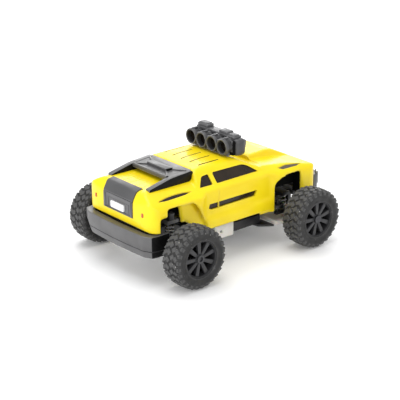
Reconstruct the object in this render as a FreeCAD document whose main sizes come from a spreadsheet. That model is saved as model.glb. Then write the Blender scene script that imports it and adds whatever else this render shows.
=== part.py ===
import FreeCAD, Part
import math
import os
import re
import Sketcher

# Micro remote control truck. Millimetres, +X forward, +Y left, +Z up.
# Outlines are drawn in the truck's own frame, with x = 0 midway between the axles and z = 0 on
# the ground. Every sub-part's Placement then moves it so that x = 0 is the middle of the length.

SPUR_TEETH = 30
PINION_TEETH = 9
REAR_COIL_TURNS = 4
FRONT_COIL_TURNS = 4
SPOKES = 9
ROOF_GROOVES = 5
LAMPS = 4
SIDES = (("left", 1), ("right", -1))

SIZES = {
    # overall
    "wheelbase": 50.2, "front_overhang": 15.4, "rear_overhang": 12.4,
    # wheels and tyres
    "wheel_track": 49.2, "tyre_radius": 10.0, "tyre_width": 8.0, "tyre_shoulder": 0.9,
    "bead_radius": 5.9, "bead_chamfer": 1.2, "rim_width": 7.0, "rim_wall": 0.75,
    "spoke_width": 1.1, "spoke_inner": 1.4, "spoke_outer": 2.6, "hub_radius": 1.7,
    "hub_length": 4.6, "nut_radius": 1.35, "nut_length": 0.8,
    # axles, pins and fits
    "axle_radius": 0.75, "running_gap": 0.07, "seat_gap": 0.02, "face_gap": 0.1,
    "pin_radius": 0.5, "screw_head": 1.1,
    # body shell
    "body_half": 17.6, "door_half": 16.4, "shell_wall": 1.2, "shell_skirt": 16.7,
    "sill_height": 12.5, "deck_height": 28.4, "roof_height": 32.0, "roof_half": 10.9,
    "belt_half": 14.0, "belt_height": 26.4, "nose_top": 21.5, "nose_bottom": 14.2,
    "liner_wall": 0.8, "arch_height": 23.4, "slot_height": 1.5, "slot_bottom": 19.3,
    "groove_width": 0.6, "groove_depth": 0.5, "groove_pitch": 4.27, "boss_radius": 1.4,
    # roof light bar and rear trim
    "lamp_pitch": 5.1, "cup_radius": 2.5, "cup_bore": 1.9, "cup_depth": 2.2, "bar_axis": 35.25,
    "panel_thick": 1.0, "gate_half": 7.5, "gate_depth": 0.55, "plate_half": 3.4,
    # bumpers
    "bumper_half": 17.5, "bumper_wall": 1.3, "bumper_bottom": 8.9, "bumper_top": 16.4,
    # chassis
    "tub_half": 12.0, "tub_bottom": 6.9, "tub_floor": 1.0, "keel_bottom": 5.9, "tub_wall": 1.0,
    "wall_top": 9.9, "rail_half": 10.9, "rail_width": 2.0, "rail_bottom": 15.7, "rail_top": 17.5,
    "block_top": 10.4, "pivot_ahead": 22.1, "pivot_height": 8.2, "tongue_half": 5.6,
    "tower_thick": 1.1, "tower_half": 14.3, "post_radius": 1.15, "post_height": 2.2,
    # drive
    "tooth_module": 0.25, "mesh_gap": 0.06, "case_radius": 4.9, "case_bore": 4.25,
    "motor_radius": 3.0, "motor_gap": 0.15, "shaft_radius": 0.4, "tube_radius": 2.0,
    "tube_half": 17.8, "bush_radius": 1.6, "bush_length": 2.0, "gear_width": 2.0,
    # springs
    "spring_radius": 1.3, "spring_wire": 0.28, "rear_spring_half": 12.75,
    "front_spring_half": 10.5,
    # front suspension and steering
    "hinge_half": 5.5, "hinge_height": 7.2, "arm_thick": 1.3, "barrel_radius": 0.9,
    "kingpin_half": 17.0, "kingpin_radius": 0.6, "steer_arm": 6.6, "stud_radius": 0.4,
    "stud_half": 15.6, "eye_bore": 1.3, "eye_radius": 2.1, "link_bottom": 12.6,
    "link_thick": 1.0, "horn_arm": 3.6, "horn_axis": 10.0, "horn_pin": 0.4,
    "front_plate_bottom": 14.2,
    # electrics
    "switch_travel": 1.6, "switch_knob": 1.4, "port_width": 4.6, "port_height": 2.0,
}

DERIVED = {
    "front_axle": "wheelbase / 2",
    "rear_axle": "0 - wheelbase / 2",
    "front_end": "front_axle + front_overhang",
    "rear_end": "rear_axle - rear_overhang",
    "middle": "(front_end + rear_end) / 2",
    "axle_height": "tyre_radius",
    "wheel_half": "wheel_track / 2",
    "tub_top": "tub_bottom + tub_floor",
    "pivot_place": "rear_axle + pivot_ahead",
    "tub_rear": "pivot_place + 5.2",
    "axle_bore": "axle_radius + running_gap",
    "spur_pitch": f"tooth_module * {SPUR_TEETH} / 2",
    "pinion_pitch": f"tooth_module * {PINION_TEETH} / 2",
    "motor_place": "rear_axle + spur_pitch + pinion_pitch + mesh_gap",
    "seat_height": "axle_height + tube_radius + 0.2",
    "arm_bottom": "hinge_height - arm_thick / 2",
    "arm_top": "hinge_height + arm_thick / 2",
    "stud_place": "front_axle - steer_arm",
    "horn_tip": "horn_axis + horn_arm",
    "cup_face": "0.7",
    "gate_line": "rear_axle - 10.1",
}

DOCUMENT = FreeCAD.newDocument("truck")
VECTOR = FreeCAD.Vector
WORD = re.compile(r"[a-z][a-z_]*")
PLANES = {"x": "YZ_Plane", "y": "XZ_Plane", "z": "XY_Plane"}
TURNS = {
    "x": FreeCAD.Rotation(VECTOR(0, 1, 0), 90),
    "y": FreeCAD.Rotation(VECTOR(1, 0, 0), -90),
    "z": FreeCAD.Rotation(),
}
SUB_PARTS = []
PLACES = {}


def write_sheet():
    """Put every driving size in the spreadsheet under its own alias."""
    sheet = DOCUMENT.addObject("Spreadsheet::Sheet", "sizes")
    for row, (word, size) in enumerate(SIZES.items(), start=1):
        sheet.set(f"A{row}", word)
        sheet.set(f"B{row}", str(size))
        sheet.setAlias(f"B{row}", word)
    DOCUMENT.recompute()


def formula(text):
    """Expand the derived words of an expression and point its sizes at the sheet."""

    def expand(match):
        word = match.group()
        if word in DERIVED:
            return f"({formula(DERIVED[word])})"
        if word in SIZES:
            return f"sizes.{word}"
        return word

    return WORD.sub(expand, str(text))


def bind(thing, name, text):
    """Drive one property of an object from the sheet."""
    thing.setExpression(name, formula(text))


def negative(text):
    return f"0 - ({text})"


def span(side, near, far):
    """A stretch of Y on the left side, or its mirror on the right."""
    return (near, far) if side > 0 else (negative(far), negative(near))


def sided(side, text):
    return text if side > 0 else negative(text)


def add(kind, name):
    return DOCUMENT.addObject(kind, name)


# ---------------------------------------------------------------- shapes


def block(name, x, y, z):
    """Box between a pair of expressions along each axis."""
    box = add("Part::Box", name)
    for size, place, (near, far) in (("Length", "x", x), ("Width", "y", y), ("Height", "z", z)):
        bind(box, size, f"({far}) - ({near})")
        bind(box, f"Placement.Base.{place}", near)
    PLACES[box.Name] = x[0]
    return box


def rod(name, axis, radius, reach, centre):
    """Cylinder along an axis; centre holds the other two coordinates in X, Y, Z order."""
    cylinder = add("Part::Cylinder", name)
    bind(cylinder, "Radius", radius)
    bind(cylinder, "Height", f"({reach[1]}) - ({reach[0]})")
    cylinder.Placement = FreeCAD.Placement(VECTOR(), TURNS[axis])
    others = iter(centre)
    for place in "xyz":
        bind(cylinder, f"Placement.Base.{place}", reach[0] if place == axis else next(others))
    PLACES[cylinder.Name] = reach[0] if axis == "x" else centre[0]
    return cylinder


def fused(name, *pieces):
    fuse = add("Part::MultiFuse", name)
    fuse.Shapes = list(pieces)
    return fuse


def shared(name, *pieces):
    common = add("Part::MultiCommon", name)
    common.Shapes = list(pieces)
    return common


def cut(name, base, *tools):
    """Cut tools from a base."""
    difference = add("Part::Cut", name)
    difference.Base = base
    difference.Tool = tools[0] if len(tools) == 1 else fused(f"{name}_tools", *tools)
    return difference


def grouped(name, *pieces):
    compound = add("Part::Compound", name)
    compound.Links = list(pieces)
    return compound


def new_body(name):
    return add("PartDesign::Body", name)


def sketch_on(body, name, axis, place):
    """Sketch across an axis of the body, at a place along that axis."""
    sketch = body.newObject("Sketcher::SketchObject", name)
    features = body.Origin.OriginFeatures
    plane = next(feature for feature in features if feature.Role == PLANES[axis])
    sketch.AttachmentSupport = [(plane, "")]
    sketch.MapMode = "FlatFace"
    bind(sketch, "AttachmentOffset.Base.z", negative(place) if axis == "y" else place)
    return sketch


def draw_polygon(sketch, points):
    """Closed outline through points whose two coordinates are expressions."""
    count = len(points)
    corners = [VECTOR(math.cos(2 * math.pi * i / count), math.sin(2 * math.pi * i / count), 0)
               for i in range(count)]
    for i in range(count):
        sketch.addGeometry(Part.LineSegment(corners[i], corners[(i + 1) % count]), False)
    for i, (across, up) in enumerate(points):
        sketch.addConstraint(Sketcher.Constraint("Coincident", i, 2, (i + 1) % count, 1))
        for kind, text, start in (("DistanceX", across, corners[i].x),
                                  ("DistanceY", up, corners[i].y)):
            index = sketch.addConstraint(Sketcher.Constraint(kind, -1, 1, i, 1, start))
            bind(sketch, f"Constraints[{index}]", text)


def draw_circle(sketch, radius, centre=("0", "0")):
    """Circle whose radius and centre are expressions."""
    circle = sketch.addGeometry(Part.Circle(VECTOR(0, 0, 0), VECTOR(0, 0, 1), 1), False)
    index = sketch.addConstraint(Sketcher.Constraint("Radius", circle, 1.0))
    bind(sketch, f"Constraints[{index}]", radius)
    for kind, text in (("DistanceX", centre[0]), ("DistanceY", centre[1])):
        index = sketch.addConstraint(Sketcher.Constraint(kind, -1, 1, circle, 3, 0.0))
        bind(sketch, f"Constraints[{index}]", text)


def pad(body, name, axis, reach, points=None, circles=()):
    """Pad an outline, circles or both between two places along an axis."""
    near, far = reach
    sketch = sketch_on(body, f"{name}_sketch", axis, far if axis == "y" else near)
    if points:
        draw_polygon(sketch, points)
    for circle in circles:
        draw_circle(sketch, *circle)
    feature = body.newObject("PartDesign::Pad", name)
    feature.Profile = sketch
    bind(feature, "Length", f"({far}) - ({near})")
    body.Tip = feature
    return feature


def outline(name, axis, reach, points):
    """Body of one padded outline."""
    body = new_body(name)
    pad(body, f"{name}_pad", axis, reach, points)
    return body


def repeat(body, name, feature, count):
    """Polar pattern of a feature about its own sketch's normal."""
    pattern = body.newObject("PartDesign::PolarPattern", name)
    pattern.Originals = [feature]
    pattern.Axis = (feature.Profile[0], ["N_Axis"])
    pattern.Angle = 360
    pattern.Occurrences = count
    body.Tip = pattern


def both_halves(points):
    """Close a half outline by mirroring it across the truck's middle plane."""
    mirrored = [(negative(across), up) for across, up in reversed(points)]
    return list(points) + mirrored


def both_halves_plan(points):
    """The same for a plan outline, whose second coordinate is Y."""
    mirrored = [(along, negative(out)) for along, out in reversed(points) if out != "0"]
    return list(points) + mirrored


def inset(points, depth):
    """Move each outline point along its own inward direction."""
    return [(f"{across} + {inward} * ({depth})", f"{up} + {down} * ({depth})")
            for across, up, inward, down in points]


def coil(name, centre, bottom, top, turns):
    """Coil spring of round wire standing between two heights."""
    helix = add("Part::Helix", f"{name}_helix")
    bind(helix, "Radius", "spring_radius")
    bind(helix, "Height", f"({top}) - ({bottom}) - 2 * spring_wire")
    bind(helix, "Pitch", f"(({top}) - ({bottom}) - 2 * spring_wire) / {turns}")
    wire = add("Part::Circle", f"{name}_wire")
    bind(wire, "Radius", "spring_wire")
    wire.Placement = FreeCAD.Placement(VECTOR(), FreeCAD.Rotation(VECTOR(1, 0, 0), 90))
    bind(wire, "Placement.Base.x", "spring_radius")
    sweep = add("Part::Sweep", name)
    sweep.Sections = [wire]
    sweep.Spine = (helix, ["Edge1"])
    sweep.Solid = True
    sweep.Frenet = True
    bind(sweep, "Placement.Base.x", centre[0])
    bind(sweep, "Placement.Base.y", centre[1])
    bind(sweep, "Placement.Base.z", f"({bottom}) + spring_wire")
    PLACES[sweep.Name] = centre[0]
    return sweep


def sub_part(thing, label, place="0"):
    """Name a finished sub-part and move it into the row's frame."""
    thing.Label = label
    bind(thing, "Placement.Base.x", f"{PLACES.get(thing.Name, place)} - middle")
    SUB_PARTS.append(thing)


# ---------------------------------------------------------------- body shell

LOWER_SIDE = [
    ("rear_axle - 9.5", "shell_skirt", 1, -3), ("gate_line", "shell_skirt + 3.1", 1, 0),
    ("gate_line + 0.1", "deck_height - 3.2", 1, 0),
    ("gate_line + 1.8", "deck_height - 0.3", 0.7, -0.9), ("rear_axle - 5.9", "deck_height", 0, -1),
    ("rear_axle + 10.1", "deck_height", 0, -1), ("front_axle - 11.1", "deck_height - 1.1", 0, -1),
    ("front_axle - 1.1", "deck_height - 2", 0, -1), ("front_axle + 7.9", "nose_top + 3.2", 0, -1),
    ("front_axle + 10.9", "nose_top + 2", -0.7, -1), ("front_axle + 12.2", "nose_top", -1, -0.3),
    ("front_axle + 12.2", "nose_bottom + 1.3", -1, 0),
    ("front_axle + 11.5", "nose_bottom", -1, -3), ("front_axle + 2.9", "nose_bottom", 0, -3),
    ("front_axle - 8.7", "sill_height - 1", 0, -3), ("front_axle - 14.6", "sill_height - 1", 0, -3),
    ("front_axle - 14.6", "sill_height", 0, -3), ("rear_axle + 10.1", "sill_height", 0, -3),
    ("rear_axle + 4.6", "shell_skirt + 0.3", 0, -3),
]
LOWER_SECTION = [
    ("body_half", "8", -1, -1), ("body_half", "arch_height - 1", -1, 0),
    ("body_half - 0.9", "arch_height + 1.2", -1, -0.4), ("belt_half", "belt_height", -0.6, -1),
    ("belt_half - 3.4", "deck_height - 0.2", -0.3, -1), ("belt_half - 9", "deck_height + 0.5", 0, -1),
]
PLAN = [
    ("gate_line - 0.1", "0", 1, 0), ("gate_line", "8", 1, 0), ("gate_line + 0.4", "12.5", 1, -0.3),
    ("gate_line + 1.4", "body_half - 2.2", 0.8, -0.7),
    ("gate_line + 3.4", "body_half - 0.6", 0.4, -1), ("gate_line + 6.2", "body_half", 0, -1),
    ("rear_axle + 9.6", "body_half", 0, -1), ("rear_axle + 12.1", "door_half", 0, -1),
    ("front_axle - 10.6", "door_half", 0, -1), ("front_axle - 6.6", "body_half", 0, -1),
    ("front_axle + 7.2", "body_half", -0.3, -1), ("front_axle + 9.3", "body_half - 1.4", -0.7, -0.7),
    ("front_axle + 10.7", "body_half - 4.4", -1, -0.4), ("front_axle + 11.8", "8", -1, 0),
    ("front_axle + 12.2", "0", -1, 0),
]
CABIN_SIDE = [
    ("-15.2", "belt_height - 1.9", 1, -1), ("-13.9", "roof_height - 0.8", 1, -1),
    ("-8", "roof_height - 0.1", 0, -1), ("0", "roof_height", 0, -1),
    ("3.6", "roof_height - 0.4", -0.3, -1), ("13.2", "belt_height + 0.2", -1.2, -0.3),
    ("13.2", "belt_height - 1.9", -1.2, -1),
]
CABIN_SECTION = [
    ("belt_half + 0.2", "belt_height - 1.9", -1, -1), ("belt_half", "belt_height", -1, 0),
    ("roof_half + 1.1", "roof_height - 2.6", -1, -0.3), ("roof_half", "roof_height - 1", -0.9, -0.7),
    ("roof_half - 1.9", "roof_height - 0.3", -0.3, -1), ("0.5", "roof_height + 0.1", 0, -1),
]
FRONT_ARCH = [
    ("front_axle - 8.7", "4"), ("front_axle - 8.7", "arch_height - 2.8"),
    ("front_axle - 7.7", "arch_height - 1.2"), ("front_axle - 4.6", "arch_height - 0.2"),
    ("front_axle + 2.2", "arch_height"), ("front_axle + 2.2", "4"),
]
REAR_OPENING = [
    ("rear_axle - 8.1", "4"), ("rear_axle - 8.1", "arch_height - 3.1"),
    ("rear_axle - 7.9", "arch_height - 0.6"), ("rear_axle - 5.4", "arch_height - 0.5"),
    ("rear_axle - 5.3", "arch_height + 1.6"), ("rear_axle - 1.1", "arch_height + 1.4"),
    ("rear_axle - 0.2", "arch_height - 3.3"), ("rear_axle - 0.2", "4"),
]
WELL_RECESS = [
    ("rear_axle - 8.1", "4"), ("rear_axle - 8.1", "arch_height - 3.1"),
    ("rear_axle - 5.4", "arch_height"), ("rear_axle + 7.6", "arch_height"),
    ("rear_axle + 12.9", "sill_height - 0.1"), ("rear_axle + 12.9", "4"),
]
WELL_PANEL = [
    ("rear_axle - 0.2", "shell_skirt + 0.6"), ("rear_axle - 1.1", "arch_height + 1.3"),
    ("rear_axle + 10.1", "arch_height + 1.3"), ("rear_axle + 13.1", "arch_height - 0.4"),
    ("rear_axle + 13.6", "sill_height"), ("rear_axle + 10.1", "sill_height"),
    ("rear_axle + 4.6", "shell_skirt + 0.6"),
]
SCOOP = [
    ("front_axle - 12.6", "deck_height - 2.4"), ("front_axle - 10.6", "deck_height + 0.2"),
    ("front_axle - 1.4", "deck_height + 0.8"), ("front_axle + 7.2", "nose_top + 3.3"),
    ("front_axle + 4", "nose_top + 2.6"),
]
DOOR_WINDOW = [
    ("-6.1", "belt_height + 0.1"), ("-7.4", "roof_height - 2"), ("5.7", "roof_height - 2.5"),
    ("10.6", "belt_height + 0.1"),
]
QUARTER_WINDOW = [
    ("-13.2", "belt_height + 0.1"), ("-12.4", "roof_height - 2.2"), ("-9.4", "roof_height - 2.2"),
    ("-8.1", "belt_height + 0.1"),
]


def lower_hull(name, depth):
    """Lower body: side, cross and plan outlines in common, inset by a depth."""
    half = "body_half + 2"
    side = outline(f"{name}_side", "y", (negative(half), half), inset(LOWER_SIDE, depth))
    ends = ("rear_end", "front_end")
    section = outline(f"{name}_section", "x", ends, both_halves(inset(LOWER_SECTION, depth)))
    points = [(along, "0" if out == "0" else wide)
              for (along, wide), (_, out, _, _) in zip(inset(PLAN, depth), PLAN)]
    plan = outline(f"{name}_plan", "z", ("4", "roof_height"), both_halves_plan(points))
    return shared(name, side, section, plan)


def cabin_hull(name, depth):
    """Cabin: side and cross outlines in common, inset by a depth."""
    side = outline(f"{name}_side", "y", ("-18", "18"), inset(CABIN_SIDE, depth))
    section = outline(f"{name}_section", "x", ("-20", "20"),
                      both_halves(inset(CABIN_SECTION, depth)))
    return shared(name, side, section)


def well_panels():
    """Inner panels of the rear wheel wells and the ledges that close them above."""
    pieces = []
    for word, side in SIDES:
        reach = span(side, "door_half - 1.9", "door_half - 1")
        pieces.append(outline(f"well_{word}", "y", reach, WELL_PANEL))
        pieces.append(block(f"ledge_{word}", ("rear_axle - 0.6", "rear_axle + 11"),
                            span(side, "door_half - 1.9", "body_half - 0.3"),
                            ("arch_height + 0.02", "arch_height + 1")))
    return pieces


def shell_bosses():
    """Tubes that stand the shell on the rails and on the front spring plate."""
    pieces = []
    for word, side in SIDES:
        pieces.append(rod(f"rear_boss_{word}", "z", "boss_radius",
                          ("rail_top + face_gap", "deck_height - 0.8"),
                          ("rear_axle - 4.4", sided(side, "rail_half - 1"))))
        pieces.append(rod(f"front_boss_{word}", "z", "boss_radius",
                          ("front_plate_bottom + tower_thick + face_gap", "deck_height - 2.8"),
                          ("front_axle", sided(side, "6"))))
    return pieces


def shell_openings():
    """Arches, windows, slots, lamp holes and roof grooves."""
    tools = [outline("front_arch", "y", ("-20", "20"), FRONT_ARCH)]
    for word, side in SIDES:
        tools += [
            outline(f"rear_opening_{word}", "y", span(side, "12", "20"), REAR_OPENING),
            outline(f"well_recess_{word}", "y", span(side, "door_half - 1", "20"), WELL_RECESS),
            outline(f"door_window_{word}", "y", span(side, "9", "16"), DOOR_WINDOW),
            outline(f"quarter_window_{word}", "y", span(side, "9", "16"), QUARTER_WINDOW),
            block(f"sill_slot_{word}", ("-11", "8.3"), span(side, "15", "20"),
                  ("slot_bottom", "slot_bottom + slot_height")),
            block(f"fender_slit_{word}", ("rear_axle - 5.9", "rear_axle + 6.1"),
                  span(side, "belt_half - 0.3", "belt_half + 0.6"), ("arch_height + 1.1", "28")),
            block(f"fender_vent_{word}", ("front_axle - 6.6", "front_axle + 2"),
                  span(side, "15.2", "16.8"), ("arch_height + 0.6", "27")),
            rod(f"tail_hole_{word}", "x", "0.6 + seat_gap", ("rear_end", "rear_axle - 7"),
                (sided(side, "12"), "22")),
            rod(f"head_hole_{word}", "x", "1.7 + seat_gap", ("front_axle + 8", "front_end"),
                (sided(side, "9.8"), "nose_top - 1.2")),
        ]
    tools.append(block("screen_hole", ("5", "11.8"), ("-9.6", "9.6"),
                       ("belt_height + 0.5", "roof_height - 0.7")))
    tools.append(block("grille_hole", ("front_axle + 9", "front_end"), ("-6.6", "6.6"),
                       ("nose_top - 4.5", "nose_top + 0.6")))
    for i in range(ROOF_GROOVES):
        line = f"({i} - {(ROOF_GROOVES - 1) / 2}) * groove_pitch"
        tools.append(block(f"roof_groove_{i}", ("-9.7", "-1.5"),
                           (f"{line} - groove_width / 2", f"{line} + groove_width / 2"),
                           ("roof_height - shell_wall + groove_depth - 0.2", "roof_height + 1")))
    return tools


def gate_outline(gap):
    """Bent tailgate panel let into the shell, grown by a gap for its recess."""
    return [
        ("gate_line - 0.15", f"deck_height - 8.6 - ({gap})"),
        ("gate_line - 0.1", "deck_height - 3"),
        ("gate_line + 1.75", "deck_height + 0.15"),
        (f"gate_line + 4.1 + ({gap})", "deck_height + 0.3"),
        (f"gate_line + 4.1 + ({gap})", f"deck_height - gate_depth + 0.25 - ({gap})"),
        (f"gate_line + 2 + ({gap})", f"deck_height - gate_depth + 0.1 - ({gap})"),
        (f"gate_line + gate_depth + ({gap})", f"deck_height - 3.2 - ({gap})"),
        (f"gate_line + gate_depth - 0.1 + ({gap})", f"deck_height - 8.6 - ({gap})"),
    ]


def build_shell():
    outer = fused("shell_outer", lower_hull("lower_outer", "0"), cabin_hull("cabin_outer", "0"),
                  outline("scoop", "y", ("-5.2", "5.2"), SCOOP))
    inner = fused("shell_inner", lower_hull("lower_inner", "shell_wall"),
                  cabin_hull("cabin_inner", "shell_wall"))
    skin = cut("shell_skin", outer, inner)
    whole = fused("shell_whole", skin, *well_panels(), *shell_bosses())
    recess = outline("gate_recess", "y", ("0 - gate_half - seat_gap", "gate_half + seat_gap"),
                     gate_outline("seat_gap"))
    sub_part(cut("shell", whole, recess, *shell_openings()), "body_shell")


def build_glazing():
    """One dark liner behind every cabin window, and strips behind the sill slots."""
    liner = cut("liner", cabin_hull("liner_outer", "shell_wall + face_gap"),
                cabin_hull("liner_inner", "shell_wall + face_gap + liner_wall"))
    band = block("liner_band", ("-12.8", "11"), ("-16", "16"),
                 ("belt_height - 0.6", "roof_height - 1.6"))
    sub_part(shared("glazing", liner, band), "cabin_glazing")
    strips = [block(f"strip_{word}", ("-11.3", "9.3"),
                    span(side, "door_half - shell_wall - 0.9", "door_half - shell_wall - face_gap"),
                    ("slot_bottom - 0.8", "slot_bottom + slot_height + 0.8"))
              for word, side in SIDES]
    sub_part(grouped("strips", *strips), "sill_inserts")


def build_tailgate():
    reach = (negative("gate_half"), "gate_half")
    sub_part(outline("gate", "y", reach, gate_outline("0")), "tailgate_panel")
    face = "gate_line - 0.15"
    sub_part(block("plate", (f"{face} - 0.25", face), (negative("plate_half"), "plate_half"),
                   ("20.7", "22.9")), "number_plate")
    lamps = [rod(f"tail_{word}", "x", "0.6", ("gate_line + 0.15", "rear_axle - 8.6"),
                 (sided(side, "12"), "22")) for word, side in SIDES]
    sub_part(grouped("tails", *lamps), "tail_lights")


def build_nose():
    lamps = [rod(f"head_{word}", "x", "1.7", ("front_axle + 9.6", "front_axle + 11.1"),
                 (sided(side, "9.8"), "nose_top - 1.2")) for word, side in SIDES]
    sub_part(grouped("heads", *lamps), "headlights")
    frame = block("grille_plate", ("front_axle + 10.6", "front_axle + 11.6"),
                  ("-6.6 + seat_gap", "6.6 - seat_gap"),
                  ("nose_top - 4.5 + seat_gap", "nose_top + 0.6 - seat_gap"))
    slots = [block(f"grille_slot_{i}", ("front_axle + 10", "front_axle + 12"),
                   (f"{i} * 1.6 - 0.5", f"{i} * 1.6 + 0.5"), ("nose_top - 3.9", "nose_top"))
             for i in range(-3, 4)]
    sub_part(cut("grille", frame, *slots), "grille")


def build_sail():
    """Dark rear roof panel with a sail down each side to the deck."""
    top = [("-14", "roof_height - 1"), ("-22.6", "deck_height + 2.1"),
           ("-22.6", "deck_height + 2.1 - panel_thick"), ("-15.4", "roof_height - 0.9 - panel_thick")]
    panel = outline("sail_panel_top", "y", ("-9.6", "9.6"), top)
    side_points = [("-14.6", "deck_height + 0.05"), ("-14", "roof_height - 1"),
                   ("-22.6", "deck_height + 2.1"), ("-30.6", "deck_height + 0.6"),
                   ("-30.6", "deck_height + 0.05")]
    sails = [outline(f"sail_{word}", "y", span(side, "8.8", "10.4"), side_points)
             for word, side in SIDES]
    clear = cabin_hull("sail_clear", "0 - seat_gap")
    sub_part(cut("sail", fused("sail_whole", panel, *sails), clear), "sail_panel")


def build_light_bar():
    """Four open lamp cups facing back on one housing that stands on the roof."""
    half = f"({LAMPS} / 2) * lamp_pitch"
    seat = "roof_height + 0.15"
    housing = block("bar_block", ("cup_face + 2.2", "cup_face + 7"),
                    (f"0 - {half}", half), (seat, "bar_axis + 2.6"))
    lumps = [block(f"bar_lump_{i}", ("cup_face + 2.6", "cup_face + 6.4"),
                   (f"{place} - 2.6", f"{place} + 2.6"), ("bar_axis", "bar_axis + 4"))
             for i, place in enumerate(("-2.6", "6.4"))]
    nose = block("bar_nose", ("cup_face + 7", "cup_face + 9.4"), ("-7.5", "7.5"),
                 ("bar_axis - 2", "bar_axis + 1.4"))
    cups = []
    bores = []
    for i in range(LAMPS):
        place = f"({i} - {(LAMPS - 1) / 2}) * lamp_pitch"
        centre = (place, "bar_axis")
        cups.append(rod(f"cup_{i}", "x", "cup_radius", ("cup_face", "cup_face + 3"), centre))
        bores.append(rod(f"cup_bore_{i}", "x", "cup_bore", ("cup_face - 1", "cup_face + cup_depth"),
                         centre))
    bar = fused("bar_whole", housing, nose, *lumps, *cups)
    sub_part(cut("bar", bar, *bores), "roof_light_bar")
    lenses = [rod(f"lens_{i}", "x", "cup_bore - face_gap",
                  ("cup_face + cup_depth - 0.6", "cup_face + cup_depth"),
                  (f"({i} - {(LAMPS - 1) / 2}) * lamp_pitch", "bar_axis")) for i in range(LAMPS)]
    sub_part(grouped("lenses", *lenses), "roof_lamps")


# ---------------------------------------------------------------- bumpers


def build_rear_bumper():
    outer = [("rear_end", "0"), ("rear_end + 0.2", "7"), ("rear_end + 0.6", "bumper_half - 3.5"),
             ("rear_end + 2", "bumper_half - 0.3"), ("rear_end + 4", "bumper_half"),
             ("rear_end + 8.8", "bumper_half")]
    inner = [("rear_end + 8.8", "bumper_half - bumper_wall"),
             ("rear_end + 6", "bumper_half - bumper_wall"),
             ("rear_end + 4.3", "bumper_half - 2.1"), ("rear_end + 2.9", "bumper_half - 3.9"),
             ("rear_end + 2.4", "0")]
    walls = outline("rear_wall", "z", ("bumper_bottom", "bumper_top"),
                    both_halves_plan(outer + inner))
    lugs = [block(f"rear_lug_{word}", ("rear_end + 1.6", "rear_end + 5.7"),
                  span(side, "rail_half - rail_width", "rail_half"),
                  ("rail_bottom - 2.1", "rail_bottom - face_gap")) for word, side in SIDES]
    sub_part(fused("rear_tray", walls, *lugs), "rear_bumper")


def build_front_bumper():
    outer = [("front_end", "0"), ("front_end - 0.3", "7"), ("front_end - 1.9", "13"),
             ("front_end - 4.3", "15.4"), ("front_end - 6.2", "15.8")]
    inner = [("front_end - 6.2", "14.4"), ("front_end - 5.2", "14"), ("front_end - 3.5", "11.8"),
             ("front_end - 2.2", "6.5"), ("front_end - 2", "0")]
    beam = outline("front_beam", "z", ("8.5", "nose_bottom - 0.2"), both_halves_plan(outer + inner))
    guard_outer = [("front_end - 0.8", "0"), ("front_end - 1.1", "7"),
                   ("front_end - 2.7", "12.6"), ("front_end - 3.9", "14.2")]
    guard_inner = [("front_end - 4.8", "14.2"), ("front_end - 4.4", "12.6"),
                   ("front_end - 2.9", "7.5"), ("front_end - 2.6", "0")]
    guard = outline("guard_band", "z", ("nose_bottom - 0.3", "nose_top - 0.9"),
                    both_halves_plan(guard_outer + guard_inner))
    window = block("guard_window", ("front_end - 8", "front_end + 1"), ("-11.3", "11.3"),
                   ("nose_bottom + 1.1", "nose_top - 2.1"))
    lug = block("front_lug", ("front_axle + 11", "front_end - 1.5"), ("-5", "5"), ("8.9", "11.4"))
    sub_part(fused("front_tray", beam, cut("guard", guard, window), lug), "front_bumper")


# ---------------------------------------------------------------- chassis


def build_tub():
    """Shelf, keel, side walls, rails over the drive pod and upturned front end."""
    front_line = "front_axle - 11.2"
    shelf = block("shelf", ("tub_rear", front_line), (negative("tub_half"), "tub_half"),
                  ("tub_bottom", "tub_top"))
    keel = block("keel", ("tub_rear", "front_axle + 10.9"), ("-4", "4"),
                 ("keel_bottom", "tub_bottom"))
    wide_keel = block("wide_keel", ("tub_rear", front_line), ("-7", "7"),
                      ("keel_bottom", "tub_bottom"))
    wing_points = [("front_axle - 13.6", "6.5"), ("front_axle - 12.3", "12.5"),
                   ("front_axle - 8.1", "15.6"), ("front_axle - 8.1", "10"),
                   ("front_axle - 8.5", "4")]
    wings = outline("wings", "z", ("keel_bottom", "keel_bottom + 0.7"),
                    both_halves_plan(wing_points))
    rear_wall = block("tub_rear_wall", ("tub_rear", "tub_rear + tub_wall"),
                      (negative("tub_half"), "tub_half"), ("tub_top", "wall_top"))
    upturn = block("upturn", ("front_axle + 9.5", "front_axle + 10.9"), ("-4", "4"),
                   ("keel_bottom", "11.5"))
    rail = [(front_line, "tub_top"), (front_line, "wall_top + 2.5"), ("-10.5", "wall_top + 2.5"),
            ("-14.5", "rail_top"), ("rear_axle - 8.5", "rail_top"),
            ("rear_axle - 8.5", "rail_bottom"), ("-15.5", "rail_bottom"),
            ("-11.2", "block_top + 0.3"), ("tub_rear", "block_top + 0.3"),
            ("tub_rear", "tub_top")]
    rails = [outline(f"rail_{word}", "y", span(side, "rail_half - rail_width", "rail_half"), rail)
             for word, side in SIDES]
    walls = [block(f"tub_side_{word}", ("tub_rear", front_line),
                   span(side, "tub_half - tub_wall", "tub_half"), ("tub_top", "wall_top"))
             for word, side in SIDES]
    tie = block("rail_tie", ("rear_axle - 8.5", "rear_axle - 6.4"),
                (negative("rail_half"), "rail_half"), ("rail_bottom", "rail_top"))
    port = block("port_cut", ("tub_rear + 1.5 - seat_gap", "tub_rear + 1.5 + port_width + seat_gap"),
                 ("7.9", "tub_half + 1"),
                 ("tub_top - seat_gap", "tub_top + port_height + seat_gap"))
    slot = block("knob_slot", ("tub_rear + 2", "tub_rear + 2 + switch_travel + switch_knob + 0.4"),
                 ("-6.1", "-4.3"), ("keel_bottom - 1", "tub_top + 1"))
    whole = fused("tub_whole", shelf, keel, wide_keel, wings, rear_wall, upturn, tie, *walls, *rails)
    sub_part(cut("tub", whole, port, slot), "chassis_tub")


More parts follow.
